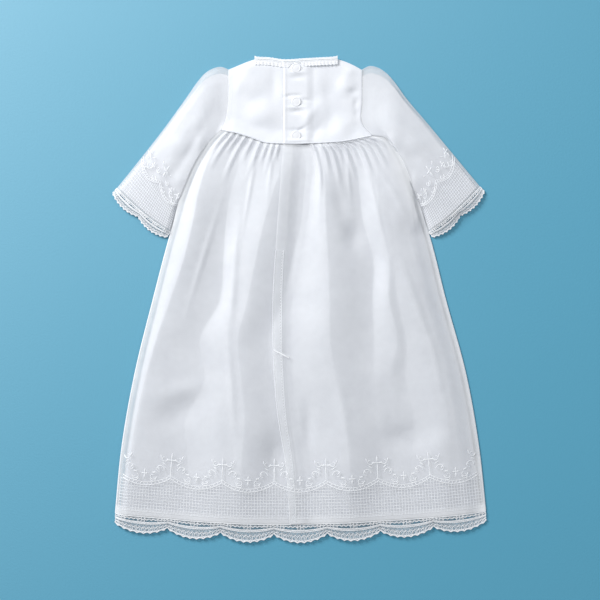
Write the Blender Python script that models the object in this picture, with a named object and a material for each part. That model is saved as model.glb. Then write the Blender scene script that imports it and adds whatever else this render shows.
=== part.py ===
"""Christening gown, laid face down on a flat surface with its back uppermost.

A high satin yoke buttons down the centre back over a gathered skirt. The skirt and the
wide sleeves are sheer organza over a satin lining, and end in a scalloped lace edging.
The gown's neck points to +Y, the wearer's right side to +X and its back to +Z.
It is 657 mm long, and its numbers are in metres. The origin is below the middle of the outline,
on the surface that the gown lies on.
"""

import math
from collections import namedtuple

import bpy
import numpy as np

MM = 0.001

# Cloth and how its layers lie on each other
WALL = 1.2 * MM
GAP = 0.3 * MM
SEAM_GAP = 0.5 * MM
SLEEVE_GAP = 0.7 * MM
LAYER = WALL + GAP
LINING_LOW_Z = LAYER
LINING_TOP_Z = 2 * LAYER
BACK_Z = 3 * LAYER + 1.0 * MM
EDGE_RAMP = 8.0 * MM

# The centre back overlap of the wearer's right side on the left
LAP_WIDTH = 13.0 * MM
LAP_RISE = WALL + 0.6 * MM
LAP_FADE = 12.0 * MM
YOKE_UNDERLAP = 28.0 * MM

# Lace edging
SCALLOP_DEPTH = 26.0 * MM
NOTCH_DEPTH = 14.5 * MM
PICOT_DEPTH = 1.8 * MM
PICOTS_IN_SCALLOP = 8
SCALLOP_STEPS = 2 * PICOTS_IN_SCALLOP
SLOT_STARTS = (3, 9)
SLOT_ENDS = (7, 13)
HEM_SCALLOPS = 7
CUFF_SCALLOPS = 2
CUFF_SCALLOP_DEPTH = 14.0 * MM
CUFF_NOTCH_DEPTH = 8.5 * MM

# Neck frill
FRILL_ABOVE = 5.0 * MM
FRILL_BELOW = 6.5 * MM
FRILL_WAVES = 13
FRILL_WAVE_HEIGHT = 1.6 * MM
FRILL_BUTTON_CLEARANCE = 9.5 * MM

# Buttons down the centre back
BUTTON_DIAMETER = 13.0 * MM
BUTTON_HEIGHT = 4.2 * MM
BUTTON_X = -3.8 * MM
BUTTON_TOP_Y = 314.0 * MM
BUTTON_SPACING = 45.6 * MM
BUTTON_COUNT = 3
BUTTON_SIDES = 20

WHITE_SATIN = (0.93, 0.94, 0.96, 1.0)
WHITE_ORGANZA = (0.90, 0.93, 0.96, 1.0)
WHITE_LACE = (0.95, 0.96, 0.97, 1.0)
PEARL_WHITE = (0.92, 0.92, 0.91, 1.0)

# Outlines, each a row of (x, y) in millimetres that a smooth curve runs through
WAIST_SEAM = (
    (-103.8, 229.6), (-86.2, 225.8), (-65.9, 219.8), (-48.0, 213.4), (-21.3, 211.2),
    (28.7, 212.2), (62.0, 214.8), (84.0, 219.0), (98.4, 222.0),
)
HEM_LINE = (
    (-247.5, -286.2), (-190.0, -291.5), (-113.0, -297.5), (-12.0, -300.0),
    (70.0, -297.5), (150.0, -293.0), (205.0, -288.5), (251.5, -283.5),
)
LEFT_SIDE = (
    (-103.8, 229.6), (-117.5, 216.5), (-130.9, 200.0), (-155.2, 150.0), (-170.4, 100.0),
    (-197.0, 0.0), (-221.5, -100.0), (-239.0, -200.0), (-247.5, -286.2),
)
RIGHT_SIDE = (
    (98.4, 222.0), (117.0, 218.5), (132.2, 200.0), (153.2, 150.0), (171.5, 100.0),
    (197.8, 0.0), (224.9, -100.0), (242.4, -200.0), (251.5, -283.5),
)
CENTRE_BACK = (
    (-21.3, 211.2), (-26.0, 150.0), (-31.0, 80.0), (-35.5, 0.0), (-35.0, -75.0),
    (-29.5, -150.0), (-18.0, -225.0), (-12.5, -300.0),
)
YOKE_TOP = (
    (-94.6, 312.0), (-84.0, 316.5), (-68.0, 323.0), (-60.0, 325.6), (-41.0, 325.0),
    (-21.0, 322.2), (10.0, 323.6), (52.0, 325.8), (62.0, 322.8), (78.0, 315.4),
    (84.2, 311.8),
)
YOKE_LEFT_ARMHOLE = ((-94.6, 312.0), (-94.8, 270.0), (-98.4, 244.0), (-103.8, 229.6))
YOKE_RIGHT_ARMHOLE = ((84.2, 311.8), (84.2, 270.0), (84.6, 238.0), (98.4, 222.0))
YOKE_CENTRE_TOP = (-20.9, 322.2)
NECK_LINE = (
    (-60.0, 325.6), (-41.0, 325.0), (-21.0, 322.2), (10.0, 323.6), (52.0, 325.8),
)
LEFT_SLEEVE_FOLD = (
    (-105.0, 315.8), (-116.5, 313.4), (-127.5, 306.5), (-135.5, 297.5), (-151.0, 275.5),
    (-182.0, 232.5), (-214.0, 191.5), (-231.5, 169.5), (-245.5, 152.5),
)
RIGHT_SLEEVE_FOLD = (
    (95.5, 317.0), (107.0, 314.5), (118.5, 306.8), (127.5, 297.0), (143.0, 275.5),
    (170.5, 243.0), (197.0, 211.0), (224.0, 178.5), (244.0, 154.5),
)
LEFT_CUFF_MIDDLE = ((-222.0, 130.0), (-198.0, 110.0))
RIGHT_CUFF_MIDDLE = ((222.0, 132.0), (199.0, 111.0))
UNDERARM_END_Y = 93.0

# The skirt's crests and hollows, from its left side to its right, in millimetres
FOLD_STATIONS_Y = (228.0, 200.0, 150.0, 100.0, 0.0, -100.0, -200.0, -290.0)
FoldLine = namedtuple("FoldLine", "name x_at_stations height_at_stations")
FOLD_LINES = (
    FoldLine("left side", (-105, -131, -155, -170, -197, -221, -239, -248), (0, 0, 0, 0, 0, 0, 0, 0)),
    FoldLine("left crest", (-98, -116, -128, -140, -165, -197, -212, -219), (1, 4, 8, 10, 10, 8, 7, 5)),
    FoldLine("left hollow", (-84, -90, -97, -109, -129, -140, -154, -161), (1, 2, 2, 2, 1, 2, 2, 2)),
    FoldLine("inner left crest", (-64, -62, -66, -74, -82, -75, -75, -82), (1, 4, 8, 9, 9, 9, 9, 6)),
    FoldLine("placket hollow", (-30, -27, -26, -26, -34, -33, -30, -24), (1, 3, 3, 3, 2, 3, 1, 2)),
    FoldLine("middle crest", (30, 33, 35, 36, 38, 44, 65, 69), (1, 5, 8, 10, 11, 9, 7, 5)),
    FoldLine("right hollow", (58, 60, 68, 80, 105, 136, 132, 129), (1, 2, 1, 1, 2, 2, 1, 2)),
    FoldLine("right crest", (76, 80, 97, 112, 143, 183, 204, 207), (1, 4, 7, 8, 8, 7, 6, 5)),
    FoldLine("right side", (100, 132, 153, 171, 198, 225, 242, 252), (0, 0, 0, 0, 0, 0, 0, 0)),
)

# Gathers under the waist seam: where each starts on it, how far it runs down and its height
Gather = namedtuple("Gather", "x length height")
GATHERS = (
    Gather(-95.5, 34, 1.7), Gather(-87.5, 50, 1.9), Gather(-80.0, 26, 1.5), Gather(-71.5, 60, 2.0),
    Gather(-61.5, 30, 1.6), Gather(-51.5, 44, 1.9), Gather(-42.5, 24, 1.5), Gather(-35.0, 36, 1.8),
    Gather(-27.5, 20, 1.4), Gather(17.5, 58, 2.0), Gather(27.5, 34, 1.8), Gather(36.0, 48, 1.9),
    Gather(43.5, 22, 1.4), Gather(51.0, 40, 1.9), Gather(58.5, 26, 1.5), Gather(67.0, 54, 2.0),
    Gather(75.0, 30, 1.6), Gather(82.0, 42, 1.8), Gather(89.5, 24, 1.3),
)
GATHER_HALF_WIDTH = 4.2 * MM
GATHER_LIFT = 1.2 * MM
GATHER_LIFT_REACH = 30.0 * MM

# Soft swellings of the yoke: middle, radius and height in millimetres
Swelling = namedtuple("Swelling", "x y radius height")
YOKE_SWELLINGS = (
    Swelling(-66, 292, 26, 1.6), Swelling(-48, 248, 30, 1.8), Swelling(22, 252, 24, 1.6),
    Swelling(30, 296, 24, 1.2), Swelling(64, 288, 18, 1.6), Swelling(58, 236, 22, 1.8),
)
YOKE_BACK_RISE = 1.2 * MM
YOKE_WAIST_RISE = 2.6 * MM
YOKE_WAIST_REACH = 22.0 * MM

# Sleeve fullness, from the armhole to the cuff
SLEEVE_PUFF = ((0.0, 3.0), (0.2, 5.0), (0.6, 4.5), (1.0, 2.5))
SleeveCrease = namedtuple("SleeveCrease", "along across run half_width height")
SLEEVE_CREASES = (
    SleeveCrease(0.30, 0.74, 0.30, 0.10, 1.8),
    SleeveCrease(0.46, 0.52, 0.34, 0.10, 1.4),
    SleeveCrease(0.62, 0.80, 0.24, 0.09, 1.3),
)
LINING_CUFF_SHARE = 0.965
ARMHOLE_SHARES = (0.0, 0.2, 0.44, 0.68, 0.78, 0.87, 0.94, 1.0)


def smooth_step(t):
    """0 at t 0 and below, 1 at t 1 and above, level at both ends."""
    t = np.clip(t, 0.0, 1.0)
    return t * t * (3.0 - 2.0 * t)


def curve_through(points_mm):
    """A smooth curve through points given in millimetres, as a function of 0 to 1 along it."""
    points = np.array(points_mm, float) * MM
    steps = np.linalg.norm(np.diff(points, axis=0), axis=1)
    knots = np.concatenate([[0.0], np.cumsum(steps)]) / steps.sum()
    slopes = np.gradient(points, knots, axis=0)

    def at(t):
        t = np.clip(np.asarray(t, float), 0.0, 1.0)
        i = np.clip(np.searchsorted(knots, t, side="right") - 1, 0, len(knots) - 2)
        span = knots[i + 1] - knots[i]
        s = ((t - knots[i]) / span)[..., None]
        span = span[..., None]
        return (
            (2 * s**3 - 3 * s**2 + 1) * points[i]
            + (s**3 - 2 * s**2 + s) * span * slopes[i]
            + (3 * s**2 - 2 * s**3) * points[i + 1]
            + (s**3 - s**2) * span * slopes[i + 1]
        )

    return at


def part_of(curve, start, end):
    """The stretch of a curve from start to end, each 0 to 1 along it."""
    return lambda t: curve(start + (end - start) * np.asarray(t, float))


def moved(curve, dx=0.0, dy=0.0):
    return lambda t: curve(t) + np.array([dx, dy])


def line_between(a, b):
    """The straight line from one point to another, each in metres."""
    a, b = np.array(a, float), np.array(b, float)
    return lambda t: a + (b - a) * np.asarray(t, float)[..., None]


def patch(top, bottom, left, right):
    """The surface that four edges bound: u runs from left to right and v from top to bottom."""
    corners = top(0.0), top(1.0), bottom(0.0), bottom(1.0)

    def at(u, v):
        u, v = np.broadcast_arrays(np.asarray(u, float), np.asarray(v, float))
        across, down = u[..., None], v[..., None]
        ruled = (1 - down) * top(u) + down * bottom(u) + (1 - across) * left(v) + across * right(v)
        flat = (1 - down) * ((1 - across) * corners[0] + across * corners[1]) + down * (
            (1 - across) * corners[2] + across * corners[3]
        )
        return ruled - flat

    return at


def nearest_share(curve, x_mm):
    """How far along a curve that runs left to right it reaches x."""
    t = np.linspace(0.0, 1.0, 801)
    return float(np.interp(x_mm * MM, curve(t)[:, 0], t))


def fold_height(x, y):
    """Height of the skirt's folds over its hollows at (x, y), in metres."""
    stations = np.array(FOLD_STATIONS_Y)[::-1] * MM
    share = np.clip(np.interp(y, stations, np.arange(len(stations))), 0, len(stations) - 1)
    low = np.minimum(share.astype(int), len(stations) - 2)
    blend = smooth_step(share - low) * 0.4 + (share - low) * 0.6

    def at_y(values):
        values = np.array(values, float)[::-1] * MM
        return values[low] * (1 - blend) + values[low + 1] * blend

    height = np.zeros_like(x)
    for before, after in zip(FOLD_LINES, FOLD_LINES[1:]):
        x0, x1 = at_y(before.x_at_stations), at_y(after.x_at_stations)
        z0, z1 = at_y(before.height_at_stations), at_y(after.height_at_stations)
        inside = (x >= x0) & (x < x1)
        rise = smooth_step((x - x0) / np.maximum(x1 - x0, 1e-6))
        height = np.where(inside, z0 + (z1 - z0) * rise, height)
    return height


def gather_height(waist_x, below_waist):
    """Height of the gathers, by where the cloth starts on the waist seam and how far below it is."""
    height = GATHER_LIFT * (1 - smooth_step(below_waist / GATHER_LIFT_REACH))
    for gather in GATHERS:
        across = np.clip((waist_x - gather.x * MM) / GATHER_HALF_WIDTH, -1, 1)
        fade = 1 - smooth_step(below_waist / (gather.length * MM))
        height = height + gather.height * MM * fade * (0.5 + 0.5 * np.cos(math.pi * across))
    return height


def material(name, colour, roughness, sheen=0.0):
    made = bpy.data.materials.new(name)
    made.use_nodes = True
    shader = made.node_tree.nodes["Principled BSDF"]
    shader.inputs["Base Color"].default_value = colour
    shader.inputs["Roughness"].default_value = roughness
    shader.inputs["Metallic"].default_value = 0.0
    shader.inputs["Sheen Weight"].default_value = sheen
    return made


def enclosed_volume(points, faces):
    """Volume inside a closed mesh, below zero where its faces point inwards."""
    points = np.array(points)
    total = 0.0
    for face in faces:
        for b, c in zip(face[1:], face[2:]):
            total += np.dot(points[face[0]], np.cross(points[b], points[c])) / 6
    return total


def add_object(name, points, faces, finish):
    if enclosed_volume(points, faces) < 0:
        faces = [face[::-1] for face in faces]
    mesh = bpy.data.meshes.new(name)
    mesh.from_pydata([tuple(p) for p in points], [], faces)
    mesh.shade_smooth()
    mesh.set_sharp_from_angle(angle=math.radians(40))
    mesh.materials.append(finish)
    made = bpy.data.objects.new(name, mesh)
    bpy.context.scene.collection.objects.link(made)
    return made


def strip_faces(first, second):
    """Triangles between two rows of points, given as lists of (index, share along the row)."""
    faces = []
    i = j = 0
    while i < len(first) - 1 or j < len(second) - 1:
        next_i = first[i + 1][1] if i < len(first) - 1 else 2.0
        next_j = second[j + 1][1] if j < len(second) - 1 else 2.0
        if next_i <= next_j:
            faces.append((first[i][0], second[j][0], first[i + 1][0]))
            i += 1
        else:
            faces.append((first[i][0], second[j][0], second[j + 1][0]))
            j += 1
    return faces


def close_wall(lower, upper, faces):
    """Points and faces of the wall between two copies of a sheet, closed round its edges and holes."""
    count = len(lower)
    edges = {}
    for face in faces:
        for a, b in zip(face, face[1:] + face[:1]):
            edges[(a, b)] = edges.get((a, b), 0) + 1
    rim = [(a, b) for a, b in edges if (b, a) not in edges]
    top = [tuple(i + count for i in face) for face in faces]
    bottom = [face[::-1] for face in faces]
    sides = [(a, b, b + count, a + count) for a, b in rim]
    return np.concatenate([lower, upper]), top + bottom + sides


def cloth_panel(name, surface, rows, bottom_z, finish, skip=None):
    """A wall of cloth. Each row is (v, its u values), and bottom_z gives its underside at (u, v, x, y)."""
    points, index_rows = [], []
    for v, us in rows:
        xy = surface(us, np.full(len(us), v))
        z = bottom_z(np.asarray(us, float), np.full(len(us), float(v)), xy[:, 0], xy[:, 1])
        index_rows.append([(len(points) + k, us[k]) for k in range(len(us))])
        points.extend(np.column_stack([xy, z]))
    faces = []
    for row, (first, second) in enumerate(zip(index_rows, index_rows[1:])):
        if len(first) == len(second):
            for k in range(len(first) - 1):
                if skip is None or not skip(row, k):
                    faces.append((first[k][0], second[k][0], second[k + 1][0], first[k + 1][0]))
        else:
            faces.extend(strip_faces(first, second))
    lower = np.array(points)
    upper = lower + np.array([0.0, 0.0, WALL])
    return add_object(name, *close_wall(lower, upper, faces), finish)


def cloth_tube(name, surface, lengths, upper_ts, lower_ts, upper_z, low_z, finish):
    """A flattened tube, open at both ends. The surface is (across, along) as the patch gives it."""
    rings_out, rings_in = [], []
    for s in lengths:
        width = np.linalg.norm(surface(1.0, s) - surface(0.0, s))
        inset = WALL / width

        def ring(ts, z_of):
            ts = np.asarray(ts, float)
            xy = surface(ts, np.full(len(ts), s))
            return np.column_stack([xy, z_of(ts, np.full(len(ts), s), xy[:, 0], xy[:, 1])])

        inner_upper = inset + np.asarray(upper_ts) * (1 - 2 * inset)
        inner_lower = inset + np.asarray(lower_ts) * (1 - 2 * inset)
        out_top = ring(upper_ts, upper_z) + np.array([0, 0, WALL])
        out_low = ring(lower_ts, lambda t, s, x, y: np.full(len(t), low_z))
        in_top = ring(inner_upper, upper_z)
        in_low = ring(inner_lower, lambda t, s, x, y: np.full(len(t), low_z + WALL))
        rings_out.append(np.concatenate([out_top, out_low[::-1]]))
        rings_in.append(np.concatenate([in_top, in_low[::-1]]))
    around = len(rings_out[0])
    count = len(lengths)
    points = np.concatenate(rings_out + rings_in)
    faces = []
    for s in range(count - 1):
        for k in range(around):
            n = (k + 1) % around
            a, b = s * around, (s + 1) * around
            faces.append((a + k, b + k, b + n, a + n))
            c, d = a + count * around, b + count * around
            faces.append((c + k, c + n, d + n, d + k))
    last = (count - 1) * around
    for k in range(around):
        n = (k + 1) % around
        inner = count * around
        faces.append((k, n, inner + n, inner + k))
        faces.append((last + k, inner + last + k, inner + last + n, last + n))
    return add_object(name, points, faces, finish)


def edge_rise(distance, ramp=EDGE_RAMP):
    """How far a layer has risen over the one below, by its distance from the closed edge."""
    return smooth_step(distance / ramp)


def spread(count, *extra):
    """Evenly spaced shares from 0 to 1 with a few more, in order."""
    return sorted({round(i / count, 6) for i in range(count + 1)} | set(extra))


# Skirt

waist = curve_through(WAIST_SEAM)
hem = curve_through(HEM_LINE)
left_side = curve_through(LEFT_SIDE)
right_side = curve_through(RIGHT_SIDE)
centre_back = curve_through(CENTRE_BACK)
whole_skirt = patch(waist, hem, left_side, right_side)
WAIST_SHARE = nearest_share(waist, CENTRE_BACK[0][0])
WAIST_LAP_SHARE = nearest_share(waist, CENTRE_BACK[0][0] + LAP_WIDTH / MM)
HEM_SHARE = nearest_share(hem, CENTRE_BACK[-1][0])
HEM_LAP_SHARE = nearest_share(hem, CENTRE_BACK[-1][0] + LAP_WIDTH / MM)


def side_distance(x, y):
    """Distance in from the nearer side of the skirt, across it."""
    t = np.linspace(0.0, 1.0, 400)
    left, right = left_side(t), right_side(t)
    x_left = np.interp(y, left[::-1, 1], left[::-1, 0])
    x_right = np.interp(y, right[::-1, 1], right[::-1, 0])
    return np.minimum(x - x_left, x_right - x)


def lap_height(x, y):
    """How far the overlapping panel is lifted by the one under it."""
    t = np.linspace(0.0, 1.0, 400)
    line = centre_back(t)
    past = x - np.interp(y, line[::-1, 1], line[::-1, 0])
    return LAP_RISE * (1 - smooth_step((past - LAP_WIDTH - 2 * MM) / LAP_FADE))


def skirt_back_z(waist_line):
    """Underside of a back panel whose top edge is that stretch of the waist seam."""

    def at(u, v, x, y):
        start = waist_line(u)
        below = np.linalg.norm(np.column_stack([x, y]) - start, axis=1)
        over = fold_height(x, y) + gather_height(start[:, 0], below) + BACK_Z - LAYER
        return LAYER + over * edge_rise(side_distance(x, y))

    return at


def skirt_rows(gather_columns, columns, side_first):
    """Rows down a back panel: many columns in the gathers, few below, and extra ones at the side."""
    side = (0.016, 0.036)
    extra = side if side_first else tuple(1 - s for s in side)
    rows = [(v, spread(gather_columns, *extra)) for v in (0.0, 0.018, 0.042)]
    rows.append((0.07, spread(gather_columns * 2 // 3, *extra)))
    rows.append((0.1, spread(gather_columns * 4 // 9, *extra)))
    rows += [(v, spread(columns, *extra)) for v in (0.14, 0.19, 0.25)]
    rows += [(0.32 + 0.085 * i, spread(columns, *extra)) for i in range(9)]
    return rows


def build_skirt(organza):
    left_waist = part_of(waist, 0.0, WAIST_LAP_SHARE)
    left_panel = patch(
        left_waist, part_of(hem, 0.0, HEM_LAP_SHARE), left_side, moved(centre_back, LAP_WIDTH)
    )
    left_z = skirt_back_z(left_waist)
    cloth_panel("skirt_back_left", left_panel, skirt_rows(54, 18, True), left_z, organza)

    right_waist = part_of(waist, WAIST_SHARE, 1.0)
    right_panel = patch(right_waist, part_of(hem, HEM_SHARE, 1.0), centre_back, right_side)
    right_z = skirt_back_z(right_waist)
    cloth_panel(
        "skirt_back_right",
        right_panel,
        skirt_rows(60, 20, False),
        lambda u, v, x, y: right_z(u, v, x, y) + lap_height(x, y),
        organza,
    )

    front_rows = [(0.0, spread(48))]
    front_rows += [(v, spread(6)) for v in (0.02, 0.045, 0.07, 0.1, 0.14, 0.19, 0.25)]
    front_rows += [(i / 10, spread(6)) for i in range(3, 11)]
    cloth_panel("skirt_front", whole_skirt, front_rows, lambda u, v, x, y: 0.0 * x, organza)


def build_skirt_lining(satin):
    def inside(t, s):
        s = np.asarray(s, float)
        inset = 0.045 - 0.024 * s
        return whole_skirt(inset + np.asarray(t, float) * (1 - 2 * inset), 0.004 + 0.986 * s)

    def upper_z(t, s, x, y):
        rise = edge_rise(side_distance(x, y) - EDGE_RAMP, 14 * MM)
        return LINING_TOP_Z + fold_height(x, y) * rise

    cloth_tube(
        "skirt_lining",
        inside,
        [i / 14 for i in range(15)],
        spread(22),
        spread(3),
        upper_z,
        LINING_LOW_Z,
        satin,
    )


# Yoke

yoke_top = curve_through(YOKE_TOP)
yoke_waist = moved(waist, dy=SEAM_GAP)
yoke_left = curve_through(YOKE_LEFT_ARMHOLE)
yoke_right = curve_through(YOKE_RIGHT_ARMHOLE)


def yoke_height(x, y):
    """Height of the back yoke over the flat front yoke."""
    t = np.linspace(0.0, 1.0, 400)
    seam = waist(t)
    above = y - np.interp(x, seam[:, 0], seam[:, 1])
    height = YOKE_BACK_RISE + YOKE_WAIST_RISE * (1 - smooth_step(above / YOKE_WAIST_REACH))
    for swelling in YOKE_SWELLINGS:
        away = np.hypot(x - swelling.x * MM, y - swelling.y * MM) / (swelling.radius * MM)
        height = height + swelling.height * MM * (1 - smooth_step(away))
    return height


def yoke_back_z(u, v, x, y):
    """Underside of the back yoke: on the front at the shoulders and neck, higher inside."""
    t = np.linspace(0.0, 1.0, 400)
    edge = yoke_top(t)
    below_top = np.interp(x, edge[:, 0], edge[:, 1]) - y
    return LAYER + yoke_height(x, y) * edge_rise(below_top + 1 * MM, 12 * MM)


def build_yoke(satin):
    split_top = nearest_share(yoke_top, YOKE_CENTRE_TOP[0])
    lap_top = nearest_share(yoke_top, YOKE_CENTRE_TOP[0] + YOKE_UNDERLAP / MM)
    split_waist = nearest_share(waist, CENTRE_BACK[0][0])
    lap_waist = nearest_share(waist, CENTRE_BACK[0][0] + YOKE_UNDERLAP / MM)
    levels = sorted({0.06, 0.12, 0.32, 0.56, *ARMHOLE_SHARES})
    rows = [(v, spread(10)) for v in levels[:-1]] + [(1.0, spread(30))]

    under_edge = line_between(yoke_top(lap_top), yoke_waist(lap_waist))
    left_half = patch(
        part_of(yoke_top, 0.0, lap_top), part_of(yoke_waist, 0.0, lap_waist), yoke_left, under_edge
    )
    cloth_panel("yoke_back_left", left_half, rows, yoke_back_z, satin)

    over_edge = line_between(yoke_top(split_top), yoke_waist(split_waist))
    right_half = patch(
        part_of(yoke_top, split_top, 1.0), part_of(yoke_waist, split_waist, 1.0), over_edge, yoke_right
    )

    def over_z(u, v, x, y):
        past = x - YOKE_CENTRE_TOP[0] * MM
        lift = LAP_RISE * (1 - smooth_step((past - YOKE_UNDERLAP - 2 * MM) / LAP_FADE))
        return yoke_back_z(u, v, x, y) + lift

    cloth_panel("yoke_back_right", right_half, rows, over_z, satin)

    whole = patch(yoke_top, yoke_waist, yoke_left, yoke_right)
    front_rows = [(v, spread(12)) for v in ARMHOLE_SHARES[:-1]] + [(1.0, spread(48))]
    cloth_panel("yoke_front", whole, front_rows, lambda u, v, x, y: 0.0 * x, satin)


# Sleeves


def sleeve_shape(yoke_edge, skirt_side, fold_points, cuff_middle, outward):
    """The sleeve laid flat, across from its fold to the underarm and along from the armhole, and its cuff."""
    armhole = moved(yoke_edge, outward * SLEEVE_GAP, SLEEVE_GAP / 2)
    along = np.linspace(0.0, 1.0, 801)
    end = np.interp(-UNDERARM_END_Y * MM, -skirt_side(along)[:, 1], along)
    underarm = moved(part_of(skirt_side, 0.0, end), outward * SLEEVE_GAP, SLEEVE_GAP / 2)
    fold = curve_through([tuple(armhole(0.0) / MM), *fold_points])
    cuff = curve_through([fold_points[-1], *cuff_middle, tuple(underarm(1.0) / MM)])
    return patch(armhole, cuff, fold, underarm), cuff


def puff(s):
    along = [row[0] for row in SLEEVE_PUFF]
    return np.interp(s, along, [row[1] for row in SLEEVE_PUFF]) * MM


def crease_height(t, s):
    """Soft creases that run across the sleeve from the underarm towards its fold."""
    height = np.zeros_like(t)
    for crease in SLEEVE_CREASES:
        centre = crease.along + crease.run * (crease.across - t)
        near = np.clip((s - centre) / crease.half_width, -1, 1)
        fade = 1 - smooth_step(np.abs(t - crease.across) / crease.run)
        height = height + crease.height * MM * fade * (0.5 + 0.5 * np.cos(math.pi * near))
    return height


def build_sleeve(side, surface, organza, satin):
    def width_at(s):
        return np.linalg.norm(surface(np.ones_like(s), s) - surface(np.zeros_like(s), s), axis=1)

    def outer_z(t, s, x, y):
        width = width_at(s)
        rim = edge_rise(np.minimum(t, 1 - t) * width)
        full = BACK_Z - LAYER + puff(s) * np.sin(math.pi * np.clip(t, 0, 1)) ** 0.8 + crease_height(t, s)
        return LAYER + full * rim

    upper = sorted({0.03, 0.08, 0.32, 0.56, 0.97, *ARMHOLE_SHARES})
    lengths = [0.0, 0.05, 0.1, 0.15, 0.2, 0.3, 0.4, 0.52, 0.64, 0.76, 0.88, 1.0]
    cloth_tube(f"sleeve_{side}", surface, lengths, upper, ARMHOLE_SHARES, outer_z, 0.0, organza)

    def inside(t, s):
        t, s = np.asarray(t, float), np.asarray(s, float)
        first, last = 0.10 + 0.02 * s, 0.86
        return surface(first + (last - first) * t, 0.004 + LINING_CUFF_SHARE * s)

    def lining_z(t, s, x, y):
        rim = edge_rise(np.minimum(t, 1 - t) * width_at(s), 20 * MM)
        whole = LINING_CUFF_SHARE * s
        full = puff(whole) * np.sin(math.pi * np.clip(t, 0, 1)) + crease_height(0.1 + 0.8 * t, whole)
        return LINING_TOP_Z + 0.5 * full * rim

    cloth_tube(
        f"sleeve_lining_{side}",
        inside,
        [i / 8 for i in range(9)],
        spread(8, 0.05, 0.95),
        spread(2),
        lining_z,
        LINING_LOW_Z,
        satin,
    )


# Lace edging


def scallop_reach(share, scallops, deep, notch, picots=True):
    """How far the lace reaches out at a share of its length: big scallops with small picots on them."""
    phase = (share * scallops) % 1.0
    reach = notch + (deep - notch) * np.sin(math.pi * phase) ** 0.75
    if picots:
        reach = reach - PICOT_DEPTH * np.abs(np.cos(math.pi * phase * PICOTS_IN_SCALLOP))
    return reach


def outward_of(curve, t, side):
    """Unit vectors across a curve, in the surface."""
    step = 1e-3
    run = curve(np.clip(t + step, 0, 1)) - curve(np.clip(t - step, 0, 1))
    run = run / np.linalg.norm(run, axis=1)[:, None]
    return np.column_stack([run[:, 1], -run[:, 0]]) * side


def lace_strip(name, edge, scallops, ends, reach_of, heights, finish, side=1, slots=True):
    """Lace along an edge, between two places counted in half picots, with slots under its heading."""
    start, end = ends
    outer = list(range(start, end + 1))
    inner = [i for i in outer if i in ends or i % SCALLOP_STEPS in (0, *SLOT_STARTS, *SLOT_ENDS)]

    def shares(places):
        return [(i - start) / (end - start) for i in places]

    def along_edge(u):
        return (start + (end - start) * np.asarray(u, float)) / (scallops * SCALLOP_STEPS)

    def surface(u, v):
        along = along_edge(u)
        reach = SEAM_GAP + reach_of(along) * np.asarray(v, float)
        return edge(along) + outward_of(edge, along, side) * reach[:, None]

    def is_slot(row, k):
        starts = inner[k] % SCALLOP_STEPS in SLOT_STARTS
        return slots and row == 1 and starts and inner[k + 1] % SCALLOP_STEPS in SLOT_ENDS

    levels = (0.0, 0.2, 0.34) if slots else (0.0,)
    rows = [(v, shares(inner)) for v in levels] + [(1.0, shares(outer))]
    cloth_panel(name, surface, rows, lambda u, v, x, y: heights(along_edge(u), v), finish, skip=is_slot)


def hem_reach(share):
    middle = 1 - 0.16 * np.abs(2 * share - 1) ** 2
    return scallop_reach(share, HEM_SCALLOPS, SCALLOP_DEPTH, NOTCH_DEPTH) * middle


def cuff_reach(share):
    return scallop_reach(share, CUFF_SCALLOPS, CUFF_SCALLOP_DEPTH, CUFF_NOTCH_DEPTH)


def build_hem_lace(lace):
    def on_back(along, v):
        xy = hem(along)
        start = LAYER + (BACK_Z - LAYER + fold_height(xy[:, 0], xy[:, 1])) * edge_rise(
            side_distance(xy[:, 0], xy[:, 1])
        )
        return LAYER + (start - LAYER) * (1 - 0.75 * smooth_step(v))

    whole = HEM_SCALLOPS * SCALLOP_STEPS
    split = round(HEM_SHARE * whole)
    seam = GAP / np.linalg.norm(hem(1.0) - hem(0.0))

    def past_seam(along):
        return hem(along + seam)

    lace_strip("hem_lace_back_left", hem, HEM_SCALLOPS, (0, split), hem_reach, on_back, lace)
    lace_strip("hem_lace_back_right", past_seam, HEM_SCALLOPS, (split, whole), hem_reach, on_back, lace)
    lace_strip(
        "hem_lace_front", hem, HEM_SCALLOPS, (0, whole), hem_reach, lambda along, v: 0.0 * along,
        lace, slots=False,
    )


def build_cuff_lace(side, cuff, direction, lace):
    def on_back(along, v):
        width = np.linalg.norm(cuff(1.0) - cuff(0.0))
        rim = edge_rise(np.minimum(along, 1 - along) * width)
        full = BACK_Z - LAYER + puff(1.0) * np.sin(math.pi * np.clip(along, 0, 1)) ** 0.8
        return LAYER + full * rim * (1 - 0.7 * smooth_step(v))

    ends = (0, CUFF_SCALLOPS * SCALLOP_STEPS)
    lace_strip(f"cuff_lace_back_{side}", cuff, CUFF_SCALLOPS, ends, cuff_reach, on_back, lace, direction)
    lace_strip(
        f"cuff_lace_front_{side}", cuff, CUFF_SCALLOPS, ends, cuff_reach, lambda along, v: 0.0 * along,
        lace, direction, slots=False,
    )


# Neck frill and buttons


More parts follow.
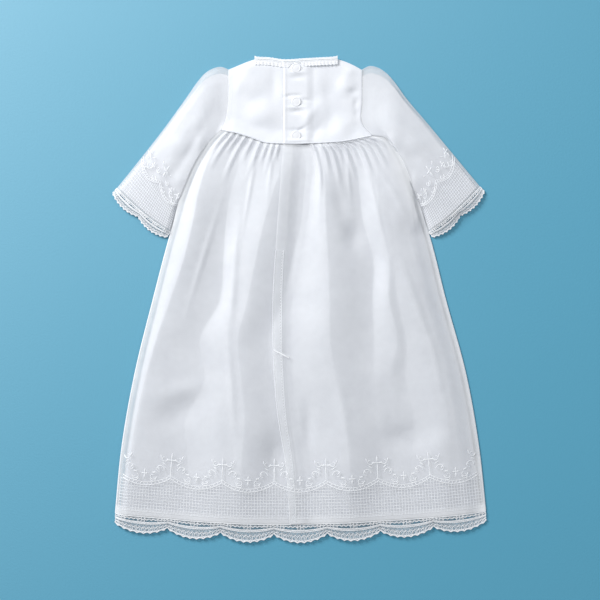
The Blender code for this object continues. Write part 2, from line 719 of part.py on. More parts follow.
def build_neck_frill(lace):
    neck = curve_through(NECK_LINE)
    count = FRILL_WAVES * 4
    us = [i / count for i in range(count + 1)]

    def surface(u, v):
        u = np.asarray(u, float)
        at = neck(u)
        wave = 0.5 - 0.5 * np.cos(2 * math.pi * FRILL_WAVES * u)
        near_button = np.abs(at[:, 0] - BUTTON_X) < FRILL_BUTTON_CLEARANCE
        below = np.where(near_button, 1.4 * MM, FRILL_BELOW * (0.82 + 0.18 * wave))
        above = FRILL_ABOVE * (0.85 + 0.15 * wave)
        reach = np.where(np.asarray(v) < 0.5, above * (1 - 2 * np.asarray(v)), -below * (2 * np.asarray(v) - 1))
        return at + np.column_stack([0 * u, reach])

    def bottom_z(u, v, x, y):
        over = yoke_back_z(u, v, x, np.minimum(y, neck(u)[:, 1])) + WALL + GAP + LAP_RISE
        wave = 0.5 - 0.5 * np.cos(2 * math.pi * FRILL_WAVES * u)
        return over + 0.4 * MM + FRILL_WAVE_HEIGHT * wave * np.abs(2 * v - 1)

    cloth_panel("neck_frill", surface, [(v, us) for v in (0.0, 0.5, 1.0)], bottom_z, lace)


def build_button(number, x, y, z, finish):
    """A low domed button with a rounded rim, standing on the overlapping yoke."""
    radius, height = BUTTON_DIAMETER / 2, BUTTON_HEIGHT
    profile = (
        (0.55, 0.0), (0.90, 0.10), (1.0, 0.30), (0.97, 0.52), (0.84, 0.74), (0.55, 0.93), (0.24, 1.0),
    )
    points = [(0.0, 0.0, 0.0)]
    for share, level in profile:
        for k in range(BUTTON_SIDES):
            angle = 2 * math.pi * k / BUTTON_SIDES
            points.append((radius * share * math.cos(angle), radius * share * math.sin(angle), height * level))
    points.append((0.0, 0.0, height))
    faces = []
    for k in range(BUTTON_SIDES):
        n = (k + 1) % BUTTON_SIDES
        faces.append((0, 1 + n, 1 + k))
        for ring in range(len(profile) - 1):
            a, b = 1 + ring * BUTTON_SIDES, 1 + (ring + 1) * BUTTON_SIDES
            faces.append((a + k, a + n, b + n, b + k))
        a = 1 + (len(profile) - 1) * BUTTON_SIDES
        faces.append((a + k, a + n, len(points) - 1))
    made = add_object(f"button_{number}", points, faces, finish)
    made.location = (x, y, z)


def build_buttons(finish):
    for number in range(BUTTON_COUNT):
        y = BUTTON_TOP_Y - number * BUTTON_SPACING
        ring = np.linspace(0, 2 * math.pi, 12, endpoint=False)
        x_near = BUTTON_X + 0.55 * BUTTON_DIAMETER * np.cos(ring)
        y_near = y + 0.55 * BUTTON_DIAMETER * np.sin(ring)
        top = yoke_back_z(0, 0, x_near, y_near).max() + LAP_RISE + WALL
        build_button(number + 1, BUTTON_X, y, top + GAP, finish)


def centre_on_outline():
    """Moves the whole gown so that the origin is below the middle of its outline."""
    bpy.context.view_layer.update()
    pieces = list(bpy.context.scene.collection.objects)
    corners = np.array([piece.matrix_world @ v.co for piece in pieces for v in piece.data.vertices])
    middle = (corners.min(axis=0) + corners.max(axis=0)) / 2
    for piece in pieces:
        piece.location.x -= middle[0]
        piece.location.y -= middle[1]


def main():
    for old in list(bpy.data.objects):
        bpy.data.objects.remove(old, do_unlink=True)
    satin = material("white_satin", WHITE_SATIN, 0.35, 0.3)
    organza = material("white_organza", WHITE_ORGANZA, 0.55, 0.2)
    lace = material("white_lace", WHITE_LACE, 0.7)
    pearl = material("pearl_button", PEARL_WHITE, 0.25)
    build_skirt(organza)
    build_skirt_lining(satin)
    build_yoke(satin)
    build_hem_lace(lace)
    for side, yoke_edge, skirt_side, fold, cuff_middle, outward in (
        ("left", yoke_left, left_side, LEFT_SLEEVE_FOLD, LEFT_CUFF_MIDDLE, -1),
        ("right", yoke_right, right_side, RIGHT_SLEEVE_FOLD, RIGHT_CUFF_MIDDLE, 1),
    ):
        surface, cuff = sleeve_shape(yoke_edge, skirt_side, fold, cuff_middle, outward)
        build_sleeve(side, surface, organza, satin)
        build_cuff_lace(side, cuff, -outward, lace)
    build_neck_frill(lace)
    build_buttons(pearl)
    centre_on_outline()


main()
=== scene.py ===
"""Looks of the christening gown, laid face down on a pale blue surface and seen from above.

The gown's outlines and folds are those of the solids, in millimetres, before the solids were
moved to lie round the middle of their outline. Each cloth piece is a finer sheet in its
solid's place, and the net, embroidery, seams and lace are thread on it.
"""

import math
from collections import namedtuple

import bpy
import numpy as np
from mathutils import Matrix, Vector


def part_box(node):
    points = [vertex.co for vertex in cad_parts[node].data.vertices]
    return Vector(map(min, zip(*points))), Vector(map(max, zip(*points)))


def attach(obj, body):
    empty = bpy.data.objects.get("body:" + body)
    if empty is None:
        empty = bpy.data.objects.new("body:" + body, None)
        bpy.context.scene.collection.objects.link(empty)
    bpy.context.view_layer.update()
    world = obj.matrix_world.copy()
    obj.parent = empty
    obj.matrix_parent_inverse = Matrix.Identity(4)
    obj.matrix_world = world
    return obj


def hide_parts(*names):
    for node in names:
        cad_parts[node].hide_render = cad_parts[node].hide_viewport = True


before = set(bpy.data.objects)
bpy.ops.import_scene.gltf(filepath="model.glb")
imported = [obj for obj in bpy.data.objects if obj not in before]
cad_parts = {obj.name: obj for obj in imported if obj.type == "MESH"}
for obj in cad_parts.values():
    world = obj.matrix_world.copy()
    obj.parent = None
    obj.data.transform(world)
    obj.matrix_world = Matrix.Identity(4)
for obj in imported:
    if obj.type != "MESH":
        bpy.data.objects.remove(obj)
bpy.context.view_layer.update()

MM = 0.001

# Photograph: the camera looks straight down from 2.6 m
PIXEL = 1.35 * MM
PHOTO_SIDE = 600
PHOTO_MIDDLE = (1.35 * MM, 1.35 * MM)
CAMERA_HEIGHT = 2.6

# Each light's name, place, width and power, turned to face the middle
LIGHTS = (
    ("key", (-1.75, 1.6, 1.5), 1.2, 91.0),
    ("fill", (1.4, 0.5, 1.7), 2.0, 9.0),
)
FLOOR_SIDE = 3.0
# The floor's colour away from the light and near it: a painted falloff of light and painted sheen
FLOOR_PAINTED_SHADE = (0.106, 0.373, 0.53)
FLOOR_PAINTED_LIGHT = (0.207, 0.432, 0.56)

# Cloth layers, as in the solids
WALL = 1.2 * MM
GAP = 0.3 * MM
SEAM_GAP = 0.5 * MM
SLEEVE_GAP = 0.7 * MM
LAYER = WALL + GAP
LINING_LOW_Z = LAYER
LINING_TOP_Z = 2 * LAYER
BACK_Z = 3 * LAYER + 1.0 * MM
EDGE_RAMP = 8.0 * MM
MID_WALL = WALL / 2
FRONT_Z = 0.9 * MM
THREAD_LIFT = 0.25 * MM

# Laps, the yoke's sheets and the centre back band
LAP_WIDTH = 13.0 * MM
LAP_RISE = WALL + 0.6 * MM
LAP_FADE = 12.0 * MM
YOKE_UNDERLAP = 28.0 * MM
YOKE_SHEET = 0.6 * MM
YOKE_FRONT_SHEET = 0.7 * MM
BAND_START = 0.28
BAND_STEPS = 190

# The right side rises more slowly from its seam, and the folds lie lower at the hem
RIGHT_SIDE_SLOPE = 0.28
HEM_EASE = 0.22

# Lace: how far it reaches at a scallop and at a notch, and what is in each scallop
SCALLOP_DEPTH = 26.0 * MM
NOTCH_DEPTH = 14.5 * MM
PICOT_DEPTH = 1.8 * MM
PICOTS_IN_SCALLOP = 8
HEM_SCALLOPS = 7
CUFF_SCALLOPS = 2
CUFF_SCALLOP_DEPTH = 14.0 * MM
CUFF_NOTCH_DEPTH = 8.5 * MM
BARS_IN_SCALLOP = 16
RINGS_IN_SCALLOP = 12

# Net and embroidery above the hem and the cuffs, and the neck frill
SKIRT_LENGTH = 520.0 * MM
BORDER_NET_TOP = 51.0 * MM
NET_CELL = 4.05 * MM
CUFF_CELL = 3.3 * MM
NET_THREAD = 0.27 * MM
CUFF_NET_THREAD = 0.6 * NET_THREAD
NET_COUNT = 124
NET_EDGE = 0.006
NET_FOOT = 6 * MM
SCROLL_THREAD = 0.55 * MM
FRILL_WAVES = 23
FRILL_PICOTS = 34

# Buttons, by the middle of each
BUTTON_DIAMETER = 13.0 * MM
BUTTON_X = -3.8 * MM
BUTTON_TOP_Y = 314.0 * MM
BUTTON_SPACING = 45.6 * MM
BUTTON_COUNT = 3
BUTTON_CROWN = 2.6 * MM

# Points along each seam from left to right or from the top down, in millimetres
WAIST_SEAM = (
    (-103.8, 229.6), (-86.2, 225.8), (-65.9, 219.8), (-48.0, 213.4), (-21.3, 211.2),
    (28.7, 212.2), (62.0, 214.8), (84.0, 219.0), (98.4, 222.0),
)
HEM_LINE = (
    (-247.5, -286.2), (-190.0, -291.5), (-113.0, -297.5), (-12.0, -300.0),
    (70.0, -297.5), (150.0, -293.0), (205.0, -288.5), (251.5, -283.5),
)
LEFT_SIDE = (
    (-103.8, 229.6), (-117.5, 216.5), (-130.9, 200.0), (-155.2, 150.0), (-170.4, 100.0),
    (-197.0, 0.0), (-221.5, -100.0), (-239.0, -200.0), (-247.5, -286.2),
)
RIGHT_SIDE = (
    (98.4, 222.0), (117.0, 218.5), (132.2, 200.0), (153.2, 150.0), (171.5, 100.0),
    (197.8, 0.0), (224.9, -100.0), (242.4, -200.0), (251.5, -283.5),
)
CENTRE_BACK = (
    (-21.3, 211.2), (-26.0, 150.0), (-31.0, 80.0), (-35.5, 0.0), (-35.0, -75.0),
    (-29.5, -150.0), (-18.0, -225.0), (-12.5, -300.0),
)
YOKE_TOP = (
    (-94.6, 312.0), (-84.0, 316.5), (-68.0, 323.0), (-60.0, 325.6), (-41.0, 325.0),
    (-21.0, 322.2), (10.0, 323.6), (52.0, 325.8), (62.0, 322.8), (78.0, 315.4),
    (84.2, 311.8),
)
YOKE_LEFT_ARMHOLE = ((-94.6, 312.0), (-94.8, 270.0), (-98.4, 244.0), (-103.8, 229.6))
YOKE_RIGHT_ARMHOLE = ((84.2, 311.8), (84.2, 270.0), (84.6, 238.0), (98.4, 222.0))
YOKE_CENTRE_TOP = (-20.9, 322.2)
NECK_LINE = (
    (-60.0, 325.6), (-41.0, 325.0), (-21.0, 322.2), (10.0, 323.6), (52.0, 325.8),
)
LEFT_SLEEVE_FOLD = (
    (-105.0, 315.8), (-116.5, 313.4), (-127.5, 306.5), (-135.5, 297.5), (-151.0, 275.5),
    (-182.0, 232.5), (-214.0, 191.5), (-231.5, 169.5), (-245.5, 152.5),
)
RIGHT_SLEEVE_FOLD = (
    (95.5, 317.0), (107.0, 314.5), (118.5, 306.8), (127.5, 297.0), (143.0, 275.5),
    (170.5, 243.0), (197.0, 211.0), (224.0, 178.5), (244.0, 154.5),
)
LEFT_CUFF_MIDDLE = ((-222.0, 130.0), (-198.0, 110.0))
RIGHT_CUFF_MIDDLE = ((222.0, 132.0), (199.0, 111.0))
UNDERARM_END_Y = 93.0

# The skirt's crests and hollows from its left side to its right, with the x and the height of
# each at the stations down the skirt, in millimetres
FOLD_STATIONS_Y = (217, 184, 150, 109, 55, 1, -53, -107, -161, -215, -296)
Fold = namedtuple("Fold", "name x_at_stations height_at_stations")
FOLDS = (
    Fold("left side", (-117, -139, -155, -167, -182, -197, -210, -223, -233, -241, -248),
         (0,) * 11),
    Fold("outer left crest", (-104, -123, -134, -142, -155, -173, -192, -207, -219, -227, -232),
         (1.5, 4.5, 7.4, 9.6, 9.6, 7.6, 7.2, 6.8, 7, 6.4, 4)),
    Fold("left hollow", (-82, -82, -91, -98, -102, -107, -134, -128, -153, -150, -163),
         (1, 1.8, 2, 0.6, 0.4, 0.8, 0.8, 0.6, 0.6, 1, 1.6)),
    Fold("left lip", (-74, -70, -70, -76, -88, -90, -96, -90, -88, -90, -99),
         (2, 3.2, 3.6, 4.4, 5.2, 6, 7.6, 7.8, 8, 7.4, 4.3)),
    Fold("left crest", (-58, -27, -34, -46, -58, -69, -82, -77, -73, -77, -80),
         (2.2, 6.6, 8.8, 9.6, 9.6, 9.2, 8.8, 9, 9.2, 9, 5.3)),
    Fold("centre hollow", (1, 9, 7, 3, -9, -22, -40, -35, -23, -24, -12),
         (1, 2.4, 2.4, 2, 1.2, 1.2, 2, 2.2, 1.8, 0.4, 1.5)),
    Fold("middle foot", (12, 18, 15, 11, 1, -9, -20, -12, 9, 15, 18),
         (1.1, 3.2, 3, 2.8, 2.4, 2.2, 3.6, 4.4, 3.6, 2, 2)),
    Fold("middle crest", (30, 34, 35, 36, 39, 41, 42, 50, 62, 68, 69),
         (1.8, 6.5, 10.2, 11.4, 11.5, 13.4, 13.2, 11.6, 10, 10, 6)),
    Fold("right hollow", (62, 77, 81, 86, 100, 99, 101, 101, 107, 115, 109),
         (0.8, 1.5, 1, 0.5, 0.4, 0.8, 1.6, 4.2, 3.6, 1.8, 2.6)),
    Fold("right crest", (90, 104, 106, 109, 121, 121, 132, 123, 128, 128, 131),
         (1.8, 5.4, 7.6, 8.6, 8.6, 8.4, 5.4, 3.4, 2.2, 1, 2.2)),
    Fold("fork hollow", (95, 110, 112, 115, 127, 132, 144, 144, 155, 151, 153),
         (1.7, 5.3, 7.4, 8.4, 8.3, 6.8, 3.8, 1.2, 0.5, 0.6, 2)),
    Fold("fork crest", (102, 118, 121, 125, 135, 152, 176, 193, 201, 202, 198),
         (1.6, 5, 7, 7.6, 8.2, 8.8, 7.8, 6.2, 5.4, 4.8, 3.4)),
    Fold("outer right hollow", (113, 142, 147, 153, 161, 177, 196, 212, 220, 225, 228),
         (1.6, 4.4, 5.6, 5.8, 6.4, 6.6, 5.6, 4.8, 3.6, 3.2, 2.2)),
    Fold("outer right crest", (117, 147, 153, 159, 173, 190, 208, 223, 231, 238, 242),
         (1.4, 3.8, 4.8, 4.8, 5, 4.6, 3.6, 3.2, 2, 1.8, 1.2)),
    Fold("right side", (119, 138, 153, 168, 184, 197, 212, 226, 236, 244, 252),
         (0,) * 11),
)

# The cloth's folds and gathers are this much higher than the tables say, and its gathers longer
FOLD_SCALE = 1.02
GATHER_SCALE = 2.2
GATHER_REACH = 1.25

# Soft swellings and hollows, each with its half length and half width, turned by an angle in degrees
Dent = namedtuple("Dent", "x y half_length half_width turn height")
SKIRT_DENTS = (
    Dent(-87, 30, 62, 4.6, 86, 1.3), Dent(-91, -110, 70, 5.4, 94, 1.2), Dent(28, 158, 42, 3.4, 88, 1.2),
    Dent(160, -8, 60, 5.2, 109, 1.1), Dent(186, -96, 40, 5.0, 101, 0.9),
    Dent(60, -150, 44, 7.0, 99, 0.9), Dent(-66, 150, 44, 3.0, 80, 1.1), Dent(-38, 178, 30, 3.0, 84, 1.0),
    Dent(66, 176, 34, 3.0, 95, 1.1), Dent(98, 150, 46, 3.2, 103, 1.1), Dent(-128, 60, 60, 4.0, 73, 0.9),
    Dent(74, 88, 18, 12, 90, -2.8), Dent(56, 130, 20, 8, 105, -1.6), Dent(-31, -212, 27, 17, 90, -3.4),
    Dent(143, -184, 26, 16, 4, -2.6), Dent(-154, -120, 42, 12, 12, 1.6), Dent(-166, -152, 26, 15, 20, -1.4),
    Dent(12, -171, 28, 8, 90, -1.8), Dent(190, -196, 20, 16, 60, 1.2), Dent(-110, -180, 34, 12, 100, 1.0),
    Dent(-78, -10, 30, 9, 80, -0.8), Dent(30, -40, 26, 12, 100, 0.8), Dent(112, 180, 24, 5, 120, -0.9),
    Dent(124, 152, 34, 5, 118, 1.0), Dent(190, -20, 34, 9, 108, -0.8), Dent(158, 30, 40, 6, 110, 0.7),
)
SLEEVE_DENTS = (
    Dent(-147, 204, 40, 6, 59, -1.3), Dent(-158, 222, 40, 9, 46, 1.1), Dent(-178, 182, 26, 8, 60, 1.0),
    Dent(109, 271, 26, 20, 90, -1.5), Dent(143, 228, 38, 12, -36, 1.6), Dent(152, 194, 24, 7, -52, -1.6),
    Dent(176, 196, 28, 8, -44, 0.9), Dent(-120, 276, 24, 10, 70, 0.9),
)
YOKE_DENTS = (
    Dent(-34, 292, 24, 8, 90, -1.3), Dent(39, 292, 20, 11, 90, -1.1), Dent(16, 252, 15, 6, 55, 1.0),
    Dent(73, 282, 7, 5, 0, -1.5), Dent(77, 266, 7, 4, 80, -1.2), Dent(78, 253, 6, 4, 90, -1.0),
    Dent(59, 232, 18, 10, 20, 1.3), Dent(-50, 255, 26, 18, 20, 1.3), Dent(-56, 233, 16, 9, 10, -0.8),
    Dent(-84, 226, 22, 4, -20, 1.2), Dent(-78, 296, 22, 8, 60, 0.8), Dent(-14, 276, 6, 2.6, 10, -1.0),
    Dent(-3, 277, 6, 2.4, 0, -0.9), Dent(9, 271, 7, 2.6, -10, -0.9), Dent(-4, 255, 9, 3.0, 0, -1.0),
    Dent(-4, 261, 11, 2.2, 0, 0.9), Dent(-2, 308, 10, 2.4, 0, 0.9), Dent(-3, 301, 9, 3.4, 0, -0.9),
    Dent(-3, 230, 12, 3.0, 0, -1.0), Dent(-4, 216, 14, 2.6, 0, 1.0), Dent(4, 232, 9, 2.2, 30, -0.7),
    Dent(22, 226, 16, 5, 60, -0.7), Dent(32, 270, 18, 7, 100, 0.7), Dent(66, 306, 14, 7, 60, 0.8),
)

Gather = namedtuple("Gather", "x length height")
GATHERS = (
    Gather(-95.5, 34, 1.7), Gather(-87.5, 50, 1.9), Gather(-80.0, 26, 1.5), Gather(-71.5, 60, 2.0),
    Gather(-61.5, 30, 1.6), Gather(-51.5, 44, 1.9), Gather(-42.5, 24, 1.5), Gather(-35.0, 36, 1.8),
    Gather(-27.5, 20, 1.4), Gather(17.5, 62, 2.3), Gather(27.5, 40, 2.2), Gather(36.0, 56, 2.3),
    Gather(43.5, 30, 2.0), Gather(51.0, 52, 2.5), Gather(58.5, 36, 2.2), Gather(67.0, 62, 2.6),
    Gather(75.0, 40, 2.2), Gather(82.0, 50, 2.4), Gather(89.5, 34, 1.9),
)
GATHER_HALF_WIDTH = 4.2 * MM
GATHER_LIFT = 0.6 * MM
GATHER_LIFT_REACH = 30.0 * MM

Swelling = namedtuple("Swelling", "x y radius height")
YOKE_SWELLINGS = (
    Swelling(-66, 292, 26, 1.6), Swelling(-48, 248, 30, 1.8), Swelling(22, 252, 24, 1.6),
    Swelling(30, 296, 24, 1.2), Swelling(64, 288, 18, 1.6), Swelling(58, 236, 22, 1.8),
)
YOKE_BACK_RISE = 1.2 * MM
YOKE_WAIST_RISE = 2.6 * MM
YOKE_WAIST_REACH = 22.0 * MM

# How far the sleeves swell at shares along them, in millimetres, and the creases across them
SLEEVE_PUFF = ((0.0, 3.0), (0.2, 5.0), (0.6, 4.5), (1.0, 2.5))
SleeveCrease = namedtuple("SleeveCrease", "along across run half_width height")
SLEEVE_CREASES = (
    SleeveCrease(0.30, 0.74, 0.30, 0.10, 1.8),
    SleeveCrease(0.46, 0.52, 0.34, 0.10, 1.4),
    SleeveCrease(0.62, 0.80, 0.24, 0.09, 1.3),
)
LINING_CUFF_SHARE = 0.99

# How the left and right sleeves swell across: the power that moves the crest to the underarm,
# how much of it is held up there, from where on, and its height
SLEEVE_ROUND = ((1.0, 1.5), (0.5, 0.8), (0.5, 0.63), (0.62, 1.25))

# Where a border is worked: a function from along and up to a point, and the border's width
Ground = namedtuple("Ground", "place width")


def smooth_step(t):
    """0 at t 0 and below, 1 at t 1 and above, level at both ends."""
    t = np.clip(t, 0.0, 1.0)
    return t * t * (3.0 - 2.0 * t)


def shares(count):
    """Even shares from 0 to 1."""
    return np.linspace(0.0, 1.0, count)


def spread(a, b):
    """Two values or arrays as arrays of one shape."""
    return np.broadcast_arrays(np.asarray(a, float), np.asarray(b, float))


def raised(xy, height):
    """Places in the plane as points at a height."""
    return np.concatenate([xy, np.broadcast_to(height, xy.shape[:-1])[..., None]], axis=-1)


def hermite(s, span, start, end, start_slope, end_slope):
    """The smooth way from one value to the next, s being 0 to 1 along the span between them."""
    return (
        (2 * s**3 - 3 * s**2 + 1) * start
        + (s**3 - 2 * s**2 + s) * span * start_slope
        + (3 * s**2 - 2 * s**3) * end
        + (s**3 - s**2) * span * end_slope
    )


def curve_through(points_mm):
    """A smooth curve through points given in millimetres, as a function of 0 to 1 along it."""
    points = np.array(points_mm, float) * MM
    steps = np.linalg.norm(np.diff(points, axis=0), axis=1)
    knots = np.concatenate([[0.0], np.cumsum(steps)]) / steps.sum()
    slopes = np.gradient(points, knots, axis=0)

    def at(t):
        t = np.clip(np.asarray(t, float), 0.0, 1.0)
        i = np.clip(np.searchsorted(knots, t, side="right") - 1, 0, len(knots) - 2)
        span = knots[i + 1] - knots[i]
        s = ((t - knots[i]) / span)[..., None]
        return hermite(s, span[..., None], points[i], points[i + 1], slopes[i], slopes[i + 1])

    return at


def part_of(curve, start, end):
    """The stretch of a curve from start to end, each 0 to 1 along it."""
    return lambda t: curve(start + (end - start) * np.asarray(t, float))


def moved(curve, dx=0.0, dy=0.0):
    """The curve shifted in the plane, in metres."""
    return lambda t: curve(t) + np.array([dx, dy])


def line_between(a, b):
    """The straight line from one point to another, each in metres."""
    a, b = np.array(a, float), np.array(b, float)
    return lambda t: a + (b - a) * np.asarray(t, float)[..., None]


def patch(top, bottom, left, right):
    """The surface that four edges bound: u runs from left to right and v from top to bottom."""
    corners = top(0.0), top(1.0), bottom(0.0), bottom(1.0)

    def at(u, v):
        u, v = spread(u, v)
        across, down = u[..., None], v[..., None]
        ruled = (1 - down) * top(u) + down * bottom(u) + (1 - across) * left(v) + across * right(v)
        flat = (1 - down) * ((1 - across) * corners[0] + across * corners[1]) + down * (
            (1 - across) * corners[2] + across * corners[3]
        )
        return ruled - flat

    return at


def nearest_share(curve, x_mm):
    """How far along a curve that runs left to right it reaches x."""
    t = np.linspace(0.0, 1.0, 801)
    return float(np.interp(x_mm * MM, curve(t)[:, 0], t))


waist = curve_through(WAIST_SEAM)
hem = curve_through(HEM_LINE)
left_side = curve_through(LEFT_SIDE)
right_side = curve_through(RIGHT_SIDE)
centre_back = curve_through(CENTRE_BACK)
whole_skirt = patch(waist, hem, left_side, right_side)
yoke_top = curve_through(YOKE_TOP)
yoke_waist = moved(waist, dy=SEAM_GAP)
yoke_left = curve_through(YOKE_LEFT_ARMHOLE)
yoke_right = curve_through(YOKE_RIGHT_ARMHOLE)
neck = curve_through(NECK_LINE)

# The seams as rows of points, to measure how far a place is from them
SAMPLES = shares(400)
LEFT_SIDE_LINE, RIGHT_SIDE_LINE = left_side(SAMPLES), right_side(SAMPLES)
CENTRE_LINE, WAIST_LINE, YOKE_TOP_LINE = centre_back(SAMPLES), waist(SAMPLES), yoke_top(SAMPLES)
HEM_SAMPLES = hem(SAMPLES)
YOKE_LEFT_LINE, YOKE_RIGHT_LINE = yoke_left(SAMPLES), yoke_right(SAMPLES)
HEM_SHARE = nearest_share(hem, CENTRE_BACK[-1][0])


def edge_rise(distance, ramp=EDGE_RAMP):
    """How far a layer has risen over the one below, by its distance from the closed edge."""
    return smooth_step(distance / ramp)


def side_distance(x, y):
    """Distance in from the nearer side of the skirt, across it. The right side lies flatter."""
    x_left = np.interp(y, LEFT_SIDE_LINE[::-1, 1], LEFT_SIDE_LINE[::-1, 0])
    x_right = np.interp(y, RIGHT_SIDE_LINE[::-1, 1], RIGHT_SIDE_LINE[::-1, 0])
    return np.minimum(x - x_left, RIGHT_SIDE_SLOPE * (x_right - x))


def past_centre(x, y):
    """Distance past the centre back edge, across the skirt."""
    return x - np.interp(y, CENTRE_LINE[::-1, 1], CENTRE_LINE[::-1, 0])


def dent_height(dents, x, y):
    """Height of the swellings and hollows at (x, y), in metres."""
    height = np.zeros_like(x)
    for dent in dents:
        turn = math.radians(dent.turn)
        dx, dy = x / MM - dent.x, y / MM - dent.y
        along = (dx * math.cos(turn) + dy * math.sin(turn)) / dent.half_length
        across = (dy * math.cos(turn) - dx * math.sin(turn)) / dent.half_width
        height = height + dent.height * MM * np.exp(-(along**2) - across**2)
    return height


def at_stations(y, values_mm):
    """The smooth curve down the skirt through a value at each station, in metres."""
    stations = np.array(FOLD_STATIONS_Y[::-1], float) * MM
    values = np.array(values_mm[::-1], float) * MM
    slopes = np.gradient(values, stations)
    y = np.clip(y, stations[0], stations[-1])
    i = np.clip(np.searchsorted(stations, y, side="right") - 1, 0, len(stations) - 2)
    span = stations[i + 1] - stations[i]
    s = (y - stations[i]) / span
    return hermite(s, span, values[i], values[i + 1], slopes[i], slopes[i + 1])


def fold_height(x, y):
    """Height of the skirt's folds over its hollows at (x, y), in metres."""
    height = np.zeros_like(x)
    for before, after in zip(FOLDS, FOLDS[1:]):
        x0, x1 = at_stations(y, before.x_at_stations), at_stations(y, after.x_at_stations)
        z0, z1 = at_stations(y, before.height_at_stations), at_stations(y, after.height_at_stations)
        across = np.clip((x - x0) / np.maximum(x1 - x0, 1e-6), 0, 1)
        rise = 0.5 * across + 0.5 * smooth_step(across)
        height = np.where((x >= x0) & (x < x1), z0 + (z1 - z0) * rise, height)
    return FOLD_SCALE * height + dent_height(SKIRT_DENTS, x, y)


def gather_height(waist_x, below_waist):
    """Height of the gathers, by where the cloth starts on the waist seam and how far below it is."""
    height = GATHER_LIFT * (1 - smooth_step(below_waist / GATHER_LIFT_REACH))
    pucker = 0.55 + 0.45 * smooth_step(below_waist / (3 * MM))
    pucker = pucker + 0.35 * np.exp(-(((below_waist / MM - 5) / 4) ** 2))
    for gather in GATHERS:
        across = np.clip((waist_x - gather.x * MM) / GATHER_HALF_WIDTH, -1, 1)
        fade = 1 - smooth_step((below_waist - 5 * MM) / (GATHER_REACH * gather.length * MM))
        rise = GATHER_SCALE * gather.height * MM * (0.5 + 0.5 * np.cos(math.pi * across))
        height = height + rise * fade * pucker
    return height


def lap_height(x, y):
    """How far the overlapping skirt panel is lifted by the one under it."""
    return LAP_RISE * (1 - smooth_step((past_centre(x, y) - LAP_WIDTH - 2 * MM) / LAP_FADE))


def beside_sleeve(y):
    """How much less of the side's slope is left where the sleeve lies against it."""
    return 9 * MM * smooth_step((y - 85 * MM) / (50 * MM))


def swag_height(t):
    """The net's upper edge: a swag across each scallop that rises to a point over the notches."""
    phase = (t * HEM_SCALLOPS) % 1.0
    return BORDER_NET_TOP - 11.0 * MM * np.sin(math.pi * phase) ** 0.8


def net_share(t, up):
    """How open the skirt is, by the share along the hem and the distance up. The doubled hem is below 0."""
    doubled = 0.9 * (1 - smooth_step((up - 8 * MM) / (5 * MM)))
    net = smooth_step((swag_height(t) + 1.5 * MM - up) / (3 * MM))
    return 0.2 * net * smooth_step((up - 7 * MM) / (5 * MM)) - doubled


def tucked(xy, column, outward):
    """The panel with its side edge carried a little way under the sleeve's edge."""
    xy[:, column, 0] += outward * 0.17 * beside_sleeve(xy[:, column, 1])
    return xy


def hem_ease(x, y):
    """How much of the folds' height is left towards the hem, where the cloth settles flat."""
    up = y - np.interp(x, HEM_SAMPLES[:, 0], HEM_SAMPLES[:, 1])
    return 1 - HEM_EASE * (1 - smooth_step(up / (55 * MM)))


def under_z(x, y, start=None):
    """The back organza's height without the lap, eased at the waist to the height of the yoke's edge."""
    over = (BACK_Z - LAYER + fold_height(x, y)) * hem_ease(x, y)
    height = LAYER + MID_WALL + over * edge_rise(side_distance(x, y) + beside_sleeve(y))
    if start is None:
        return height
    below = np.hypot(x - start[..., 0], y - start[..., 1])
    near = 1 - smooth_step(below / (12 * MM))
    height = height + near * (yoke_back_z(start[..., 0], start[..., 1] + 2 * MM) + 0.8 * MM - height)
    return height + gather_height(start[..., 0], below)


def seam_cover(x, y):
    """How much closer the weave reads over the turned-in side seams, taken off the openness."""
    return 0.9 * (1 - smooth_step(side_distance(x, y) / (6 * MM)))


def skirt_z(x, y, start=None):
    """The back organza's height, with its gathers where the waist seam point above is given."""
    over = under_z(x, y, start)
    on_right = smooth_step((past_centre(x, y) + 0.4 * MM) / (0.8 * MM))
    return over + lap_height(x, y) * on_right


# Mesh building


def linked(name, data):
    """An object in the scene."""
    made = bpy.data.objects.new(name, data)
    bpy.context.scene.collection.objects.link(made)
    return made


def quad_mesh(name, points, quads, finish, node_names=(), openness=None, smooth=True):
    """A piece of the gown made of quads, which rides on its one body."""
    mesh = bpy.data.meshes.new(name)
    mesh.vertices.add(len(points))
    mesh.vertices.foreach_set("co", np.asarray(points, np.float32).ravel())
    quads = np.asarray(quads, np.int32)
    mesh.loops.add(quads.size)
    mesh.loops.foreach_set("vertex_index", quads.ravel())
    mesh.polygons.add(len(quads))
    mesh.polygons.foreach_set("loop_start", np.arange(0, quads.size, 4, dtype=np.int32))
    mesh.update(calc_edges=True)
    if smooth:
        mesh.shade_smooth()
    else:
        mesh.shade_flat()
    if openness is not None:
        mesh.attributes.new("openness", "FLOAT", "POINT").data.foreach_set("value", np.ravel(openness))
    mesh.materials.append(finish)
    piece = linked(name, mesh)
    piece.location = (*ORIGIN_SHIFT, 0.0)
    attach(piece, "root")
    if node_names:
        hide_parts(*node_names)
    return piece


def grid_quads(rows, columns, closed=False):
    """Quads of a grid of points, row by row, joined round where it is closed."""
    index = np.arange(rows * columns).reshape(rows, columns)
    after = np.roll(index, -1, axis=1) if closed else index[:, 1:]
    before = index if closed else index[:, :-1]
    return np.stack([before[:-1], before[1:], after[1:], after[:-1]], axis=-1).reshape(-1, 4)


def sheet_piece(name, grid, finish, nodes=(), closed=False, openness=None):
    """A sheet of cloth through a grid of points."""
    rows, columns = grid.shape[:2]
    quads = grid_quads(rows, columns, closed)
    return quad_mesh(name, grid.reshape(-1, 3), quads, finish, nodes, openness)


def cloth_piece(node, grid, finish, openness=None, closed=False):
    """The sheet that takes a solid's place."""
    return sheet_piece(node + "_cloth", grid, finish, [node], closed, openness)


